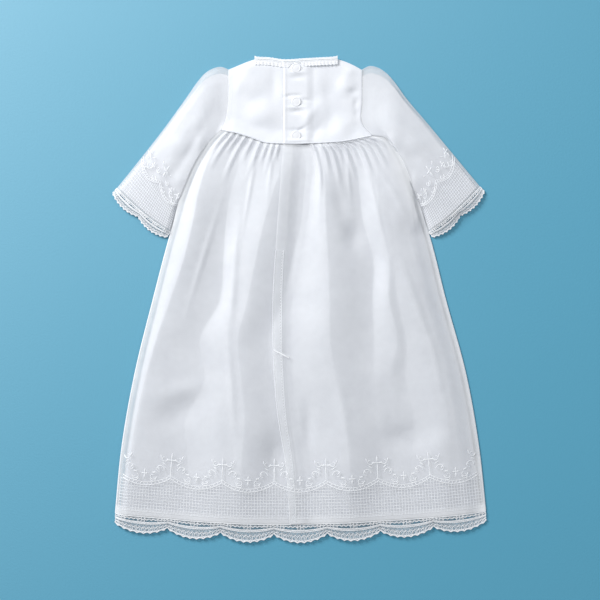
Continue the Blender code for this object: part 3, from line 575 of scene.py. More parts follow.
def shell_piece(node, grid, thickness):
    """A satin sheet with thickness in a solid's place, its grid being the upper side."""
    rows, columns = grid.shape[:2]
    count = rows * columns
    upper = grid.reshape(-1, 3)
    lower = upper - np.array([0, 0, thickness])
    top = grid_quads(rows, columns)
    index = np.arange(count).reshape(rows, columns)
    rim = np.concatenate([index[0, ::-1], index[1:, 0], index[-1, 1:], index[-2:0:-1, -1]])
    after = np.roll(rim, -1)
    sides = np.stack([rim, rim + count, after + count, after], axis=-1)
    quads = np.concatenate([top, top[:, ::-1] + count, sides])
    return quad_mesh(node + "_cloth", np.concatenate([upper, lower]), quads, satin, [node])


def thread_piece(name, lines, finish, flatness=0.4, smooth=False):
    """Threads joined into one mesh. Each line is (its points, its radius or a radius at each point)."""
    all_points, all_quads, count = [], [], 0
    ring = np.linspace(0, 2 * math.pi, 4, endpoint=False)
    for line, radius in lines:
        line = np.asarray(line, float)
        run = np.gradient(line, axis=0)
        run /= np.maximum(np.linalg.norm(run, axis=1, keepdims=True), 1e-9)
        side = np.cross(run, [0.0, 0.0, 1.0])
        side /= np.maximum(np.linalg.norm(side, axis=1, keepdims=True), 1e-9)
        up = np.cross(side, run)
        radius = np.broadcast_to(np.asarray(radius, float), len(line))[:, None, None]
        offsets = np.cos(ring)[:, None] * side[:, None] + flatness * np.sin(ring)[:, None] * up[:, None]
        points = line[:, None] + radius * offsets
        all_points.append(points.reshape(-1, 3))
        last = 4 * (len(line) - 1)
        ends = np.array([[0, 1, 2, 3], [last + 3, last + 2, last + 1, last]])
        all_quads += [grid_quads(len(line), 4, closed=True) + count, ends + count]
        count += 4 * len(line)
    points, quads = np.concatenate(all_points), np.concatenate(all_quads)
    return quad_mesh(name, points, quads, finish, smooth=smooth)


# Where the solids lie: their second button is at the middle of the three
low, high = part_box("button_2")
BUTTON_2_Y = BUTTON_TOP_Y - BUTTON_SPACING
ORIGIN_SHIFT = ((low.x + high.x) / 2 - BUTTON_X, (low.y + high.y) / 2 - BUTTON_2_Y)


# Materials


def new_material(name, settings):
    """A material, its node tree and its shader, which has the settings given by name."""
    made = bpy.data.materials.new(name)
    made.use_nodes = True
    shader = made.node_tree.nodes["Principled BSDF"]
    for setting, value in settings.items():
        shader.inputs[setting].default_value = value
    return made, made.node_tree, shader


def texture(tree, kind, per_metre, distortion, stretch=(1, 1, 1), turn=0.0):
    """A texture node in the object's own space."""
    place = tree.nodes.new("ShaderNodeTexCoord")
    mapping = tree.nodes.new("ShaderNodeMapping")
    mapping.inputs["Scale"].default_value = [per_metre * s for s in stretch]
    mapping.inputs["Rotation"].default_value = (0, 0, turn)
    tree.links.new(place.outputs["Object"], mapping.inputs["Vector"])
    node = tree.nodes.new(kind)
    node.inputs["Scale"].default_value = 1.0
    node.inputs["Distortion"].default_value = distortion
    tree.links.new(mapping.outputs["Vector"], node.inputs["Vector"])
    return node


def noise(tree, per_metre, detail, distortion=0.0, stretch=(1, 1, 1)):
    """Soft noise with so many repeats to the metre."""
    node = texture(tree, "ShaderNodeTexNoise", per_metre, distortion, stretch)
    node.inputs["Detail"].default_value = detail
    return node.outputs["Fac"]


def bands(tree, per_metre, direction, distortion, turn=0.0):
    """Parallel bands with so many repeats to the metre."""
    node = texture(tree, "ShaderNodeTexWave", per_metre, distortion, turn=turn)
    node.bands_direction = direction
    return node.outputs["Fac"]


def ramp(tree, source, low_value, high_value, low_at=0.0, high_at=1.0):
    """The source's values turned into a range."""
    node = tree.nodes.new("ShaderNodeMapRange")
    node.inputs["From Min"].default_value = low_at
    node.inputs["From Max"].default_value = high_at
    node.inputs["To Min"].default_value = low_value
    node.inputs["To Max"].default_value = high_value
    tree.links.new(source, node.inputs["Value"])
    return node.outputs["Result"]


def add(tree, a, b, share_b=1.0):
    """The sum of a and a share of b."""
    node = tree.nodes.new("ShaderNodeMath")
    node.operation = "MULTIPLY_ADD"
    node.inputs[1].default_value = share_b
    tree.links.new(b, node.inputs[0])
    tree.links.new(a, node.inputs[2])
    return node.outputs["Value"]


def set_colour(tree, shader, source, low, high, low_at=0.3, high_at=0.7):
    """A colour that goes from low to high as the source goes from one value to the other."""
    node = tree.nodes.new("ShaderNodeMix")
    node.data_type = "RGBA"
    node.inputs["A"].default_value = (*low, 1)
    node.inputs["B"].default_value = (*high, 1)
    tree.links.new(ramp(tree, source, 0.0, 1.0, low_at, high_at), node.inputs["Factor"])
    tree.links.new(node.outputs["Result"], shader.inputs["Base Color"])


def set_roughness(tree, shader, source, low, high):
    """A roughness that goes from low to high as the source does."""
    tree.links.new(ramp(tree, source, low, high), shader.inputs["Roughness"])


def bump(tree, shader, height, distance, strength):
    """Fine relief that isn't in the mesh, its depth in metres."""
    node = tree.nodes.new("ShaderNodeBump")
    node.inputs["Distance"].default_value = distance
    node.inputs["Strength"].default_value = strength
    tree.links.new(height, node.inputs["Height"])
    tree.links.new(node.outputs["Normal"], shader.inputs["Normal"])


def satin_material(name, low, high):
    """White satin: fine floats across the cloth, faint slubs and a soft gloss."""
    sheen = {"Sheen Weight": 0.15, "Sheen Roughness": 0.4, "Specular IOR Level": 0.5}
    made, tree, shader = new_material(name, sheen)
    floats = noise(tree, 1, 2.0, stretch=(260, 2600, 260))
    clouds = noise(tree, 38, 3.0)
    set_colour(tree, shader, clouds, low, high, 0.35, 0.65)
    set_roughness(tree, shader, floats, 0.38, 0.54)
    bump(tree, shader, add(tree, floats, clouds, 2.5), 0.00025, 0.5)
    return made


def organza_material(name, alpha, colour=(0.93, 0.95, 0.98)):
    """Sheer white organza: a crisp plain weave with the cloth below showing through."""
    sheen = {"Sheen Weight": 0.3, "Sheen Roughness": 0.35, "Specular IOR Level": 0.3}
    made, tree, shader = new_material(name, sheen)
    weave = add(tree, bands(tree, 1100, "X", 0.6), bands(tree, 1100, "Y", 0.6))
    veil = noise(tree, 26, 2.0)
    set_colour(tree, shader, veil, tuple(0.975 * c for c in colour), colour)
    set_roughness(tree, shader, veil, 0.5, 0.62)
    open_net = tree.nodes.new("ShaderNodeAttribute")
    open_net.attribute_name = "openness"
    cover = ramp(tree, veil, alpha - 0.05, alpha + 0.05, 0.3, 0.7)
    tree.links.new(add(tree, cover, open_net.outputs["Fac"], -0.75 * alpha), shader.inputs["Alpha"])
    bump(tree, shader, weave, 0.00012, 0.35)
    return made


def net_material(name, cell, colour):
    """A fine net of crossed diagonal threads, clear between them."""
    made, tree, shader = new_material(name, {"Base Color": (*colour, 1), "Sheen Weight": 0.3})
    crossed = []
    for turn in (45, -45):
        band = bands(tree, 0.314 / cell, "X", 0.8, math.radians(turn))
        crossed.append(ramp(tree, band, 0.0, 0.5, 0.45, 0.95))
    cover = add(tree, *crossed)
    set_roughness(tree, shader, noise(tree, 500, 2.0), 0.55, 0.75)
    tree.links.new(ramp(tree, cover, 0.06, 0.5), shader.inputs["Alpha"])
    bump(tree, shader, cover, 0.0002, 0.3)
    return made


def thread_material(name, colour):
    """Mercerised cotton thread with its twist, which lets some light through."""
    made, tree, shader = new_material(name, {"Sheen Weight": 0.3})
    twist = bands(tree, 900, "DIAGONAL", 1.5)
    set_colour(tree, shader, noise(tree, 300, 2.0), tuple(0.96 * c for c in colour), colour)
    set_roughness(tree, shader, twist, 0.5, 0.68)
    bump(tree, shader, twist, 0.0001, 0.3)
    through = tree.nodes.new("ShaderNodeBsdfTranslucent")
    through.inputs["Color"].default_value = (*colour, 1)
    both = tree.nodes.new("ShaderNodeMixShader")
    both.inputs["Fac"].default_value = 0.08
    tree.links.new(shader.outputs["BSDF"], both.inputs[1])
    tree.links.new(through.outputs["BSDF"], both.inputs[2])
    tree.links.new(both.outputs["Shader"], tree.nodes["Material Output"].inputs["Surface"])
    return made


def button_material():
    """Pearly white with a faint swirl."""
    made, tree, shader = new_material("pearl_button", {"Coat Weight": 0.15, "Coat Roughness": 0.12})
    swirl = noise(tree, 160, 4.0, distortion=1.2)
    set_colour(tree, shader, swirl, (0.79, 0.805, 0.84), (0.85, 0.86, 0.89))
    set_roughness(tree, shader, swirl, 0.3, 0.45)
    bump(tree, shader, swirl, 0.0002, 0.3)
    return made


def floor_material():
    """A pale blue board, painted brighter and greyer towards the light at its upper left: a painted pool of
    light and sheen over the board's own blue.
    """
    made, tree, shader = new_material("blue_surface_painted_light", {"Specular IOR Level": 0.2})
    grain = noise(tree, 420, 4.0)
    place = tree.nodes.new("ShaderNodeTexCoord")
    towards = tree.nodes.new("ShaderNodeVectorMath")
    towards.operation = "DOT_PRODUCT"
    towards.inputs[1].default_value = (-0.625, 0.625, 0.0)
    tree.links.new(place.outputs["Object"], towards.inputs[0])
    # Painted light: the colour grows brighter and greyer towards the lamp at the upper left
    painted_glow = tree.nodes.new("ShaderNodeMath")
    painted_glow.operation = "POWER"
    painted_glow.inputs[1].default_value = 2.0
    tree.links.new(ramp(tree, towards.outputs["Value"], 0.0, 1.0, -0.5, 0.5), painted_glow.inputs[0])
    shade = add(tree, painted_glow.outputs["Value"], grain, 0.05)
    shade = add(tree, shade, noise(tree, 3.0, 1.0), 0.06)
    set_colour(tree, shader, shade, FLOOR_PAINTED_SHADE, FLOOR_PAINTED_LIGHT, 0.055, 1.055)
    set_roughness(tree, shader, grain, 0.75, 0.9)
    bump(tree, shader, grain, 0.0006, 0.4)
    return made


satin = satin_material("white_satin", (0.76, 0.785, 0.835), (0.80, 0.82, 0.865))
# White satin like the yoke's, painted darker: painted shade for the lining seen under the organza
lining_satin_painted_shade = satin_material("lining_satin_painted_shade", (0.69, 0.71, 0.76), (0.74, 0.76, 0.805))
organza = organza_material("white_organza", 0.42)
organza_band = organza_material("white_organza_doubled", 0.3)
net_ground = net_material("lace_net", 2.3 * MM, (0.97, 0.975, 0.985))
frill_cloth = organza_material("frill_cloth", 0.85, (0.93, 0.94, 0.97))
thread = thread_material("white_thread", (0.95, 0.97, 1.0))
pearl = button_material()


# Skirt

# Shares along the waist and the hem of the right panel's edge and of the left panel's under it
WAIST_SHARE = nearest_share(waist, CENTRE_BACK[0][0])
WAIST_LAP_SHARE = nearest_share(waist, CENTRE_BACK[0][0] + LAP_WIDTH / MM)
HEM_LAP_SHARE = nearest_share(hem, CENTRE_BACK[-1][0] + LAP_WIDTH / MM)


def build_skirt():
    """The skirt's two back panels, the right one lapped over the left, and its flat front."""
    down = np.concatenate([np.linspace(0, 0.12, 50)[:-1], np.linspace(0.12, 1.0, 170)])[:, None]
    across = np.concatenate([[0, 0.004, 0.01, 0.018], np.linspace(0.026, 1.0, 160)])[None, :]
    up = (1 - down) * SKIRT_LENGTH
    left_waist = part_of(waist, 0.0, WAIST_LAP_SHARE)
    left_hem = part_of(hem, 0.0, HEM_LAP_SHARE)
    left_panel = patch(left_waist, left_hem, left_side, moved(centre_back, LAP_WIDTH))
    xy = tucked(left_panel(across, down), 0, -1)
    start = np.broadcast_to(left_waist(across), xy.shape)
    x, y = xy[..., 0], xy[..., 1]
    openness = net_share(across * HEM_LAP_SHARE, up) - 0.5 * seam_cover(x, y)
    left = cloth_piece("skirt_back_left", raised(xy, under_z(x, y, start)), organza, openness)

    right_waist = part_of(waist, WAIST_SHARE, 1.0)
    right_panel = patch(right_waist, part_of(hem, HEM_SHARE, 1.0), centre_back, right_side)
    across = 1 - across[:, ::-1]
    xy = tucked(right_panel(across, down), -1, 1)
    start = np.broadcast_to(right_waist(across), xy.shape)
    x, y = xy[..., 0], xy[..., 1]
    z = skirt_z(x, y, start)
    z[:, 0] = z[:, 1]
    openness = net_share(HEM_SHARE + across * (1 - HEM_SHARE), up) - seam_cover(x, y)
    right = cloth_piece("skirt_back_right", raised(xy, z), organza, openness)

    u, v = shares(80)[None, :], shares(90)[:, None]
    xy = whole_skirt(u, v)
    openness = net_share(u, (1 - v) * SKIRT_LENGTH) - seam_cover(xy[..., 0], xy[..., 1])
    front = cloth_piece("skirt_front", raised(xy, FRONT_Z), organza, openness)


def build_skirt_lining():
    """The satin lining, one flattened tube that the organza's folds rest on."""

    def inside(t, s):
        left, right = 0.022 - 0.008 * s, 0.016 - 0.006 * s
        return whole_skirt(left + t * (1 - left - right), 0.002 + 0.996 * s)

    s = shares(150)[:, None]
    t = np.concatenate([[0, 0.006, 0.014], np.linspace(0.024, 0.976, 190), [0.986, 0.994, 1.0]])[None, :]
    top = inside(t, s)
    x, y = top[..., 0], top[..., 1]
    rise = edge_rise(side_distance(x, y) - 3.5 * MM + beside_sleeve(y), 12 * MM)
    full = MID_WALL + 0.96 * fold_height(x, y) * hem_ease(x, y)
    top = raised(top, LINING_TOP_Z - 0.6 * MM + full * rise)
    bottom = raised(inside(shares(40)[None, ::-1], s), LINING_LOW_Z + MID_WALL)
    grid = np.concatenate([top, bottom[:, 1:-1]], axis=1)
    lining = cloth_piece("skirt_lining", grid, lining_satin_painted_shade, closed=True)


# Yoke


def yoke_height(x, y):
    """Height of the back yoke over the flat front yoke."""
    above = y - np.interp(x, WAIST_LINE[:, 0], WAIST_LINE[:, 1])
    height = YOKE_BACK_RISE + YOKE_WAIST_RISE * (1 - smooth_step(above / YOKE_WAIST_REACH))
    for swelling in YOKE_SWELLINGS:
        away = np.hypot(x - swelling.x * MM, y - swelling.y * MM) / (swelling.radius * MM)
        height = height + swelling.height * MM * (1 - smooth_step(away))
    return height + dent_height(YOKE_DENTS, x, y)


def yoke_back_z(x, y):
    """Height of the back yoke, which falls away to its neck and to the sleeves."""
    below_top = np.interp(x, YOKE_TOP_LINE[:, 0], YOKE_TOP_LINE[:, 1]) - y
    in_from_left = x - np.interp(y, YOKE_LEFT_LINE[::-1, 1], YOKE_LEFT_LINE[::-1, 0])
    in_from_right = np.interp(y, YOKE_RIGHT_LINE[::-1, 1], YOKE_RIGHT_LINE[::-1, 0]) - x
    sides = 0.55 + 0.45 * edge_rise(np.minimum(in_from_left, in_from_right), 14 * MM)
    top = edge_rise(below_top + 1 * MM, 12 * MM)
    return LAYER + 0.8 * MM + yoke_height(x, y) * top * sides


def on_yoke(xy, lift):
    """Places on the back yoke as points a little above it."""
    return raised(xy, yoke_back_z(xy[..., 0], xy[..., 1]) + lift)


def yoke_lap(past):
    """How far the overlapping half is lifted, by the distance past the centre back edge."""
    return LAP_RISE * (1 - smooth_step((past - YOKE_UNDERLAP - 2 * MM) / LAP_FADE))


def build_yoke():
    """The two halves of the back yoke, the right one lapped over the left, and its flat front."""
    split_top = nearest_share(yoke_top, YOKE_CENTRE_TOP[0])
    lap_top = nearest_share(yoke_top, YOKE_CENTRE_TOP[0] + YOKE_UNDERLAP / MM)
    split_waist = nearest_share(waist, CENTRE_BACK[0][0])
    lap_waist = nearest_share(waist, CENTRE_BACK[0][0] + YOKE_UNDERLAP / MM)
    v, u = shares(110)[:, None], shares(110)[None, :]

    under_edge = line_between(yoke_top(lap_top), yoke_waist(lap_waist))
    top, bottom = part_of(yoke_top, 0.0, lap_top), part_of(yoke_waist, 0.0, lap_waist)
    half = patch(top, bottom, yoke_left, under_edge)
    left = shell_piece("yoke_back_left", on_yoke(half(u, v), 0.9 * MM), YOKE_SHEET)

    over_edge = line_between(yoke_top(split_top), yoke_waist(split_waist))
    top, bottom = part_of(yoke_top, split_top, 1.0), part_of(yoke_waist, split_waist, 1.0)
    xy = patch(top, bottom, over_edge, yoke_right)(u, v)
    past = xy[..., 0] - YOKE_CENTRE_TOP[0] * MM
    roll = 0.7 * MM * smooth_step(past / (1.6 * MM)) - 0.35 * MM * smooth_step((past - 2.4 * MM) / (3 * MM))
    right = shell_piece("yoke_back_right", on_yoke(xy, yoke_lap(past) + 0.6 * MM + roll), YOKE_SHEET)

    whole = patch(yoke_top, yoke_waist, yoke_left, yoke_right)
    grid = raised(whole(shares(60)[None, :], shares(40)[:, None]), 1.1 * MM)
    front = shell_piece("yoke_front", grid, YOKE_FRONT_SHEET)


# Sleeves


def sleeve_shape(yoke_edge, skirt_side, fold_points, cuff_middle, outward):
    """The sleeve laid flat, across from fold to underarm and along from the armhole, and its cuff."""
    armhole = moved(yoke_edge, outward * SLEEVE_GAP, SLEEVE_GAP / 2)
    along = np.linspace(0.0, 1.0, 801)
    end = np.interp(-UNDERARM_END_Y * MM, -skirt_side(along)[:, 1], along)
    underarm = moved(part_of(skirt_side, 0.0, end), outward * SLEEVE_GAP, SLEEVE_GAP / 2)
    fold = curve_through([tuple(armhole(0.0) / MM), *fold_points])
    cuff = curve_through([fold_points[-1], *cuff_middle, tuple(underarm(1.0) / MM)])
    return patch(armhole, cuff, fold, underarm), cuff


def puff(s):
    """How far the sleeve swells at a share along it."""
    along = [row[0] for row in SLEEVE_PUFF]
    return np.interp(s, along, [row[1] for row in SLEEVE_PUFF]) * MM


def crease_height(t, s):
    """Soft creases that run across the sleeve from the underarm towards its fold."""
    height = np.zeros_like(t)
    for crease in SLEEVE_CREASES:
        centre = crease.along + crease.run * (crease.across - t)
        near = np.clip((s - centre) / crease.half_width, -1, 1)
        fade = 1 - smooth_step(np.abs(t - crease.across) / crease.run)
        height = height + crease.height * MM * fade * (0.5 + 0.5 * np.cos(math.pi * near))
    return height


def beside_skirt(s):
    """1 where the sleeve's underarm lies against the skirt, going to 0 towards the cuff."""
    return 1 - smooth_step((s - 0.6) / 0.25)


def sleeve_round(t, s, x):
    """How full the sleeve is across: nothing at its fold, and held up at the underarm."""
    power, held, crest, height = (np.where(x < 0, left, right) for left, right in SLEEVE_ROUND)
    bell = np.sin(math.pi * np.clip(t, 0, 1) ** power) ** 0.8
    held = held * beside_skirt(s)
    return height * np.where(t > crest, bell + held * (1 - bell), bell)


def width_across(surface, s):
    """The flat sleeve's width at a share along it."""
    return np.linalg.norm(surface(np.ones_like(s), s) - surface(np.zeros_like(s), s), axis=-1)


def head_rise(s):
    """The share of its height that the sleeve has reached, from the armhole on."""
    return 0.35 + 0.65 * smooth_step((s + 0.02) / 0.32)


def eased_to_yoke(height, s, xy, lift):
    """The sleeve's height, eased at the armhole to the yoke's."""
    near = 1 - smooth_step(s / 0.09)
    return height + near * (yoke_back_z(xy[..., 0], xy[..., 1]) + lift - height)


def sleeve_z(surface, t, s):
    """Height of the sleeve's upper layer, which rises from the armhole seam into its puff."""
    width = width_across(surface, s)
    rim = edge_rise(np.minimum(t * width, (1 - t) * width + 9 * MM * beside_skirt(s)))
    xy = surface(t, s)
    full = BACK_Z - LAYER + puff(s) * sleeve_round(t, s, xy[..., 0])
    full = full + crease_height(t, s) + dent_height(SLEEVE_DENTS, xy[..., 0], xy[..., 1])
    return eased_to_yoke(LAYER + MID_WALL + full * rim * head_rise(s), s, xy, 0.8 * MM)


def cuff_swag(t):
    """The upper edge of the net above the cuff, over which the sprigs stand."""
    phase = (np.asarray(t) * CUFF_SCALLOPS) % 1.0
    return 44 * MM - 10 * MM * np.sin(math.pi * phase) ** 0.8


def build_sleeve(side, surface):
    """A sleeve's organza tube, laid flat, and the shorter satin lining inside it."""
    s = np.linspace(-0.012, 1.0, 121)[:, None]
    t = np.concatenate([[0, 0.008, 0.02], np.linspace(0.035, 0.965, 70), [0.98, 0.992, 1.0]])[None, :]
    t, s = spread(t, s)
    top = raised(surface(t, s), sleeve_z(surface, t, s))
    bottom = raised(surface(*spread(shares(24)[None, ::-1], s[:, :1])), FRONT_Z)
    grid = np.concatenate([top, bottom], axis=1)
    length = float(np.linalg.norm(surface(0.5, 1.0) - surface(0.5, 0.0)))
    from_cuff = (1 - s) * length
    net = smooth_step((cuff_swag(t) + 1.5 * MM - from_cuff) / (3 * MM))
    openness = np.zeros(grid.shape[:2])
    openness[:, : t.shape[1]] = 0.05 * net * smooth_step((from_cuff - 2 * MM) / (4 * MM))
    cloth = cloth_piece(f"sleeve_{side}", grid, organza, openness, closed=True)

    def inside(t, s):
        first, last = 0.04 + 0.06 * (1 - smooth_step(s / 0.5)), 0.985
        return surface(first + (last - first) * t, -0.006 + (LINING_CUFF_SHARE + 0.006) * s)

    t, s = spread(shares(60)[None, :], shares(90)[:, None])
    along = LINING_CUFF_SHARE * s
    width = width_across(surface, s)
    rim = edge_rise(np.minimum(t * width, (1 - t) * width + 12 * MM * beside_skirt(s)), 14 * MM)
    xy = inside(t, s)
    full = 1.6 * MM + puff(along) * sleeve_round(t, along, xy[..., 0]) + crease_height(0.1 + 0.8 * t, along)
    full = full + dent_height(SLEEVE_DENTS, xy[..., 0], xy[..., 1])
    height = LINING_LOW_Z + 0.8 * MM + 0.8 * full * rim * head_rise(s)
    top = raised(xy, eased_to_yoke(height, s, xy, 0.2 * MM))
    bottom = raised(inside(*spread(shares(20)[None, ::-1], shares(90)[:, None])), LINING_LOW_Z)
    grid = np.concatenate([top, bottom], axis=1)
    lining = cloth_piece(f"sleeve_lining_{side}", grid, lining_satin_painted_shade, closed=True)


# Lace


def scallop_reach(share, scallops, deep, notch, picots):
    """How far the lace reaches at a share along it, with or without the picots on its edge."""
    phase = (share * scallops) % 1.0
    reach = notch + (deep - notch) * np.sin(math.pi * phase) ** 0.75
    return reach - picots * PICOT_DEPTH * np.abs(np.cos(math.pi * phase * PICOTS_IN_SCALLOP))


def hem_reach(share, picots):
    """How far the hem lace reaches, a little less towards the side seams."""
    reach = scallop_reach(share, HEM_SCALLOPS, SCALLOP_DEPTH, NOTCH_DEPTH, picots)
    return reach * (1 - 0.16 * np.abs(2 * share - 1) ** 2)


def cuff_reach(share, picots):
    """How far the cuff lace reaches."""
    return scallop_reach(share, CUFF_SCALLOPS, CUFF_SCALLOP_DEPTH, CUFF_NOTCH_DEPTH, picots)


def outward_of(curve, t, side):
    """Unit vectors across a curve, in the surface."""
    step = 1e-3
    run = curve(np.clip(t + step, 0, 1)) - curve(np.clip(t - step, 0, 1))
    run = run / np.linalg.norm(run, axis=-1, keepdims=True)
    return np.stack([run[..., 1], -run[..., 0]], axis=-1) * side


def lace_place(edge, reach_of, heights, side):
    """A function from a place along the lace and a share of its reach to a point on it."""

    def at(along, v, lift=0.0, picots=False):
        along, v = spread(along, v)
        reach = SEAM_GAP + reach_of(along, picots) * v
        xy = edge(along) + outward_of(edge, along, side) * reach[..., None]
        return raised(xy, heights(along, v) + lift)

    return at


def marks(start, end, scallops, each):
    """The numbers of the marks from start to end of the lace, with so many to each scallop."""
    return np.arange(math.ceil(start * scallops * each), math.floor(end * scallops * each) + 1)


def lace_lines(at, scallops, start, end, hidden):
    """The threads of a stretch of lace: its heading, bars, arcs, filling and picot edge."""
    lines = []
    for v, radius, steps, wobble in (
        (0.02, 0.6, 40, 0.0), (0.16, 0.45, 96, 0.035), (0.35, 0.55, 48, 0.0),
        (0.43, 0.5, 48, 0.0), (0.66, 0.32, 96, 0.05), (0.90, 0.45, 48, 0.0), (1.0, 0.75, 160, 0.0),
    ):
        along = np.linspace(start, end, max(2, round((end - start) * scallops * steps)))
        level = v + wobble * np.sin(2 * math.pi * along * scallops * RINGS_IN_SCALLOP)
        lines.append((at(along, level, THREAD_LIFT, v == 1.0), radius * MM))
    for place in marks(start, end, scallops, BARS_IN_SCALLOP):
        if place % BARS_IN_SCALLOP in (0, 1, 2, 3, 7, 8, 9, 13, 14, 15):
            along = np.full(4, place / (scallops * BARS_IN_SCALLOP))
            lines.append((at(along, np.linspace(0.02, 0.36, 4), THREAD_LIFT), 0.42 * MM))
    turns = 16 if hidden else 32
    zigzag = marks(start, end, scallops, turns)
    for low_v, high_v in ((0.43, 0.67), (0.65, 0.90)):
        level = np.where(zigzag % 2 == 0, low_v, high_v)
        lines.append((at(zigzag / (scallops * turns), level, THREAD_LIFT), 0.3 * MM))
    turn = np.linspace(0, 2 * math.pi, 11)
    rings = () if hidden else marks(start, end, scallops, RINGS_IN_SCALLOP)[:-1]
    for ring in rings:
        along = (ring + 0.5 + 0.36 * np.cos(turn)) / (scallops * RINGS_IN_SCALLOP)
        lines.append((at(along, 0.8 + 0.12 * np.sin(turn), 1.4 * THREAD_LIFT), 0.36 * MM))
    return lines


def lace_ground(name, at, scallops, start, end, node, hidden):
    """The net that the lace threads are worked on, open at the slots under the heading."""
    columns = round((end - start) * scallops * 64)
    along = np.linspace(start, end, columns + 1)
    levels = np.array([0.0, 0.09, 0.19, 0.24, 0.29, 0.34, 0.5, 0.66, 0.82, 1.0])
    grid = at(along[None, :], levels[:, None], 0.0, True)
    quads = grid_quads(*grid.shape[:2]).reshape(len(levels) - 1, columns, 4)
    keep = np.ones(quads.shape[:2], bool)
    if not hidden:
        middle = (along[:-1] + along[1:]) / 2
        place = (middle * scallops * BARS_IN_SCALLOP) % BARS_IN_SCALLOP
        keep[2:5, ((place > 3) & (place < 7)) | ((place > 9) & (place < 13))] = False
    return quad_mesh(name, grid.reshape(-1, 3), quads[keep], net_ground, [node])


def build_lace(name, node, edge, reach_of, heights, scallops, start, end, side):
    """A stretch of lace, which is plainer on the hidden front."""
    hidden = "front" in node
    at = lace_place(edge, reach_of, heights, side)
    ground = lace_ground(name + "_net", at, scallops, start, end, node, hidden)
    lines = lace_lines(at, scallops, start, end, hidden)
    worked = thread_piece(name + "_threads", lines, thread)
    length = float(np.linalg.norm(edge(end) - edge(start)))
    reach = reach_of(np.linspace(start, end, 200), False)


def hem_lace_height(along, v):
    """The height of the back hem lace, which falls from the folds to its points."""
    xy = hem(along)
    x, y = xy[..., 0], xy[..., 1]
    over = (BACK_Z - LAYER + fold_height(x, y)) * hem_ease(x, y) * edge_rise(side_distance(x, y))
    return LAYER + MID_WALL + over * (1 - 0.75 * smooth_step(v))


def cuff_lace_height(cuff):
    """The height of a back cuff's lace, which falls from the sleeve to its points."""
    width = np.linalg.norm(cuff(1.0) - cuff(0.0))

    def at(along, v):
        rim = edge_rise(np.minimum(along, 1 - along) * width)
        full = BACK_Z - LAYER + puff(1.0) * np.sin(math.pi * np.clip(along, 0, 1)) ** 0.8
        return LAYER + MID_WALL + full * rim * (1 - 0.7 * smooth_step(v))

    return at


def flat_height(along, v):
    """The height of the laces on the hidden side, under the gown."""
    return FRONT_Z - 0.2 * MM + 0 * (along + v)


# Borders of net and embroidery


def on_skirt(heights):
    """A function from a share along the hem and a distance up from it to a point on the skirt."""

    def at(t, up):
        t, up = spread(t, up)
        xy = whole_skirt(t, 1 - up / SKIRT_LENGTH)
        return raised(xy, heights(xy[..., 0], xy[..., 1]))

    return at


def net_lines(place):
    """Square filet net: threads up from the edge and threads along it."""
    lines = []
    for t in np.linspace(NET_EDGE, 1 - NET_EDGE, NET_COUNT):
        lines.append((place(np.full(8, t), np.linspace(NET_FOOT, swag_height(t), 8)), NET_THREAD))
    t = np.linspace(NET_EDGE, 1 - NET_EDGE, 2 * NET_COUNT)
    for level in np.arange(NET_FOOT, BORDER_NET_TOP, NET_CELL):
        inside = swag_height(t) > level
        for run in np.split(np.arange(len(t)), np.flatnonzero(np.diff(inside)) + 1):
            if inside[run[0]] and len(run) > 2:
                lines.append((place(t[run], level), NET_THREAD))
    return lines


def leaf(ground, t, up, length, angle, width):
    """A satin stitch leaf, pointed at both ends."""
    along = shares(7)
    dx = length * (along - 0.5) * math.cos(angle)
    dy = length * (along - 0.5) * math.sin(angle)
    radius = width * np.sin(math.pi * np.clip(along, 0.06, 0.94)) ** 0.7
    return ground.place(t + dx / ground.width, up + dy), radius


def scroll(ground, t, up, size, side, direction):
    """A curl that winds in, tapering to its end."""
    along = shares(22)
    turn = math.pi * (0.5 + 0.5 * side)
    angle = turn + direction * along * 1.6 * math.pi
    radius = size * (1 - 0.72 * along)
    dx = radius * np.cos(angle) - size * math.cos(turn)
    dy = radius * np.sin(angle) - size * math.sin(turn)
    return ground.place(t + dx / ground.width, up + dy), SCROLL_THREAD * (1.15 - 0.55 * along)


def floret(ground, t, up, size):
    """A four-petalled flower with longer petals up and down."""
    lines = []
    for angle, share in ((90, 1.0), (270, 1.15), (0, 0.8), (180, 0.8)):
        a = math.radians(angle)
        length = size * share
        dx, dy = 0.62 * length * math.cos(a), 0.62 * length * math.sin(a)
        lines.append(leaf(ground, t + dx / ground.width, up + dy, length, a, 0.95 * MM))
    lines.append(leaf(ground, t, up, 2.2 * MM, 0.0, 1.0 * MM))
    return lines


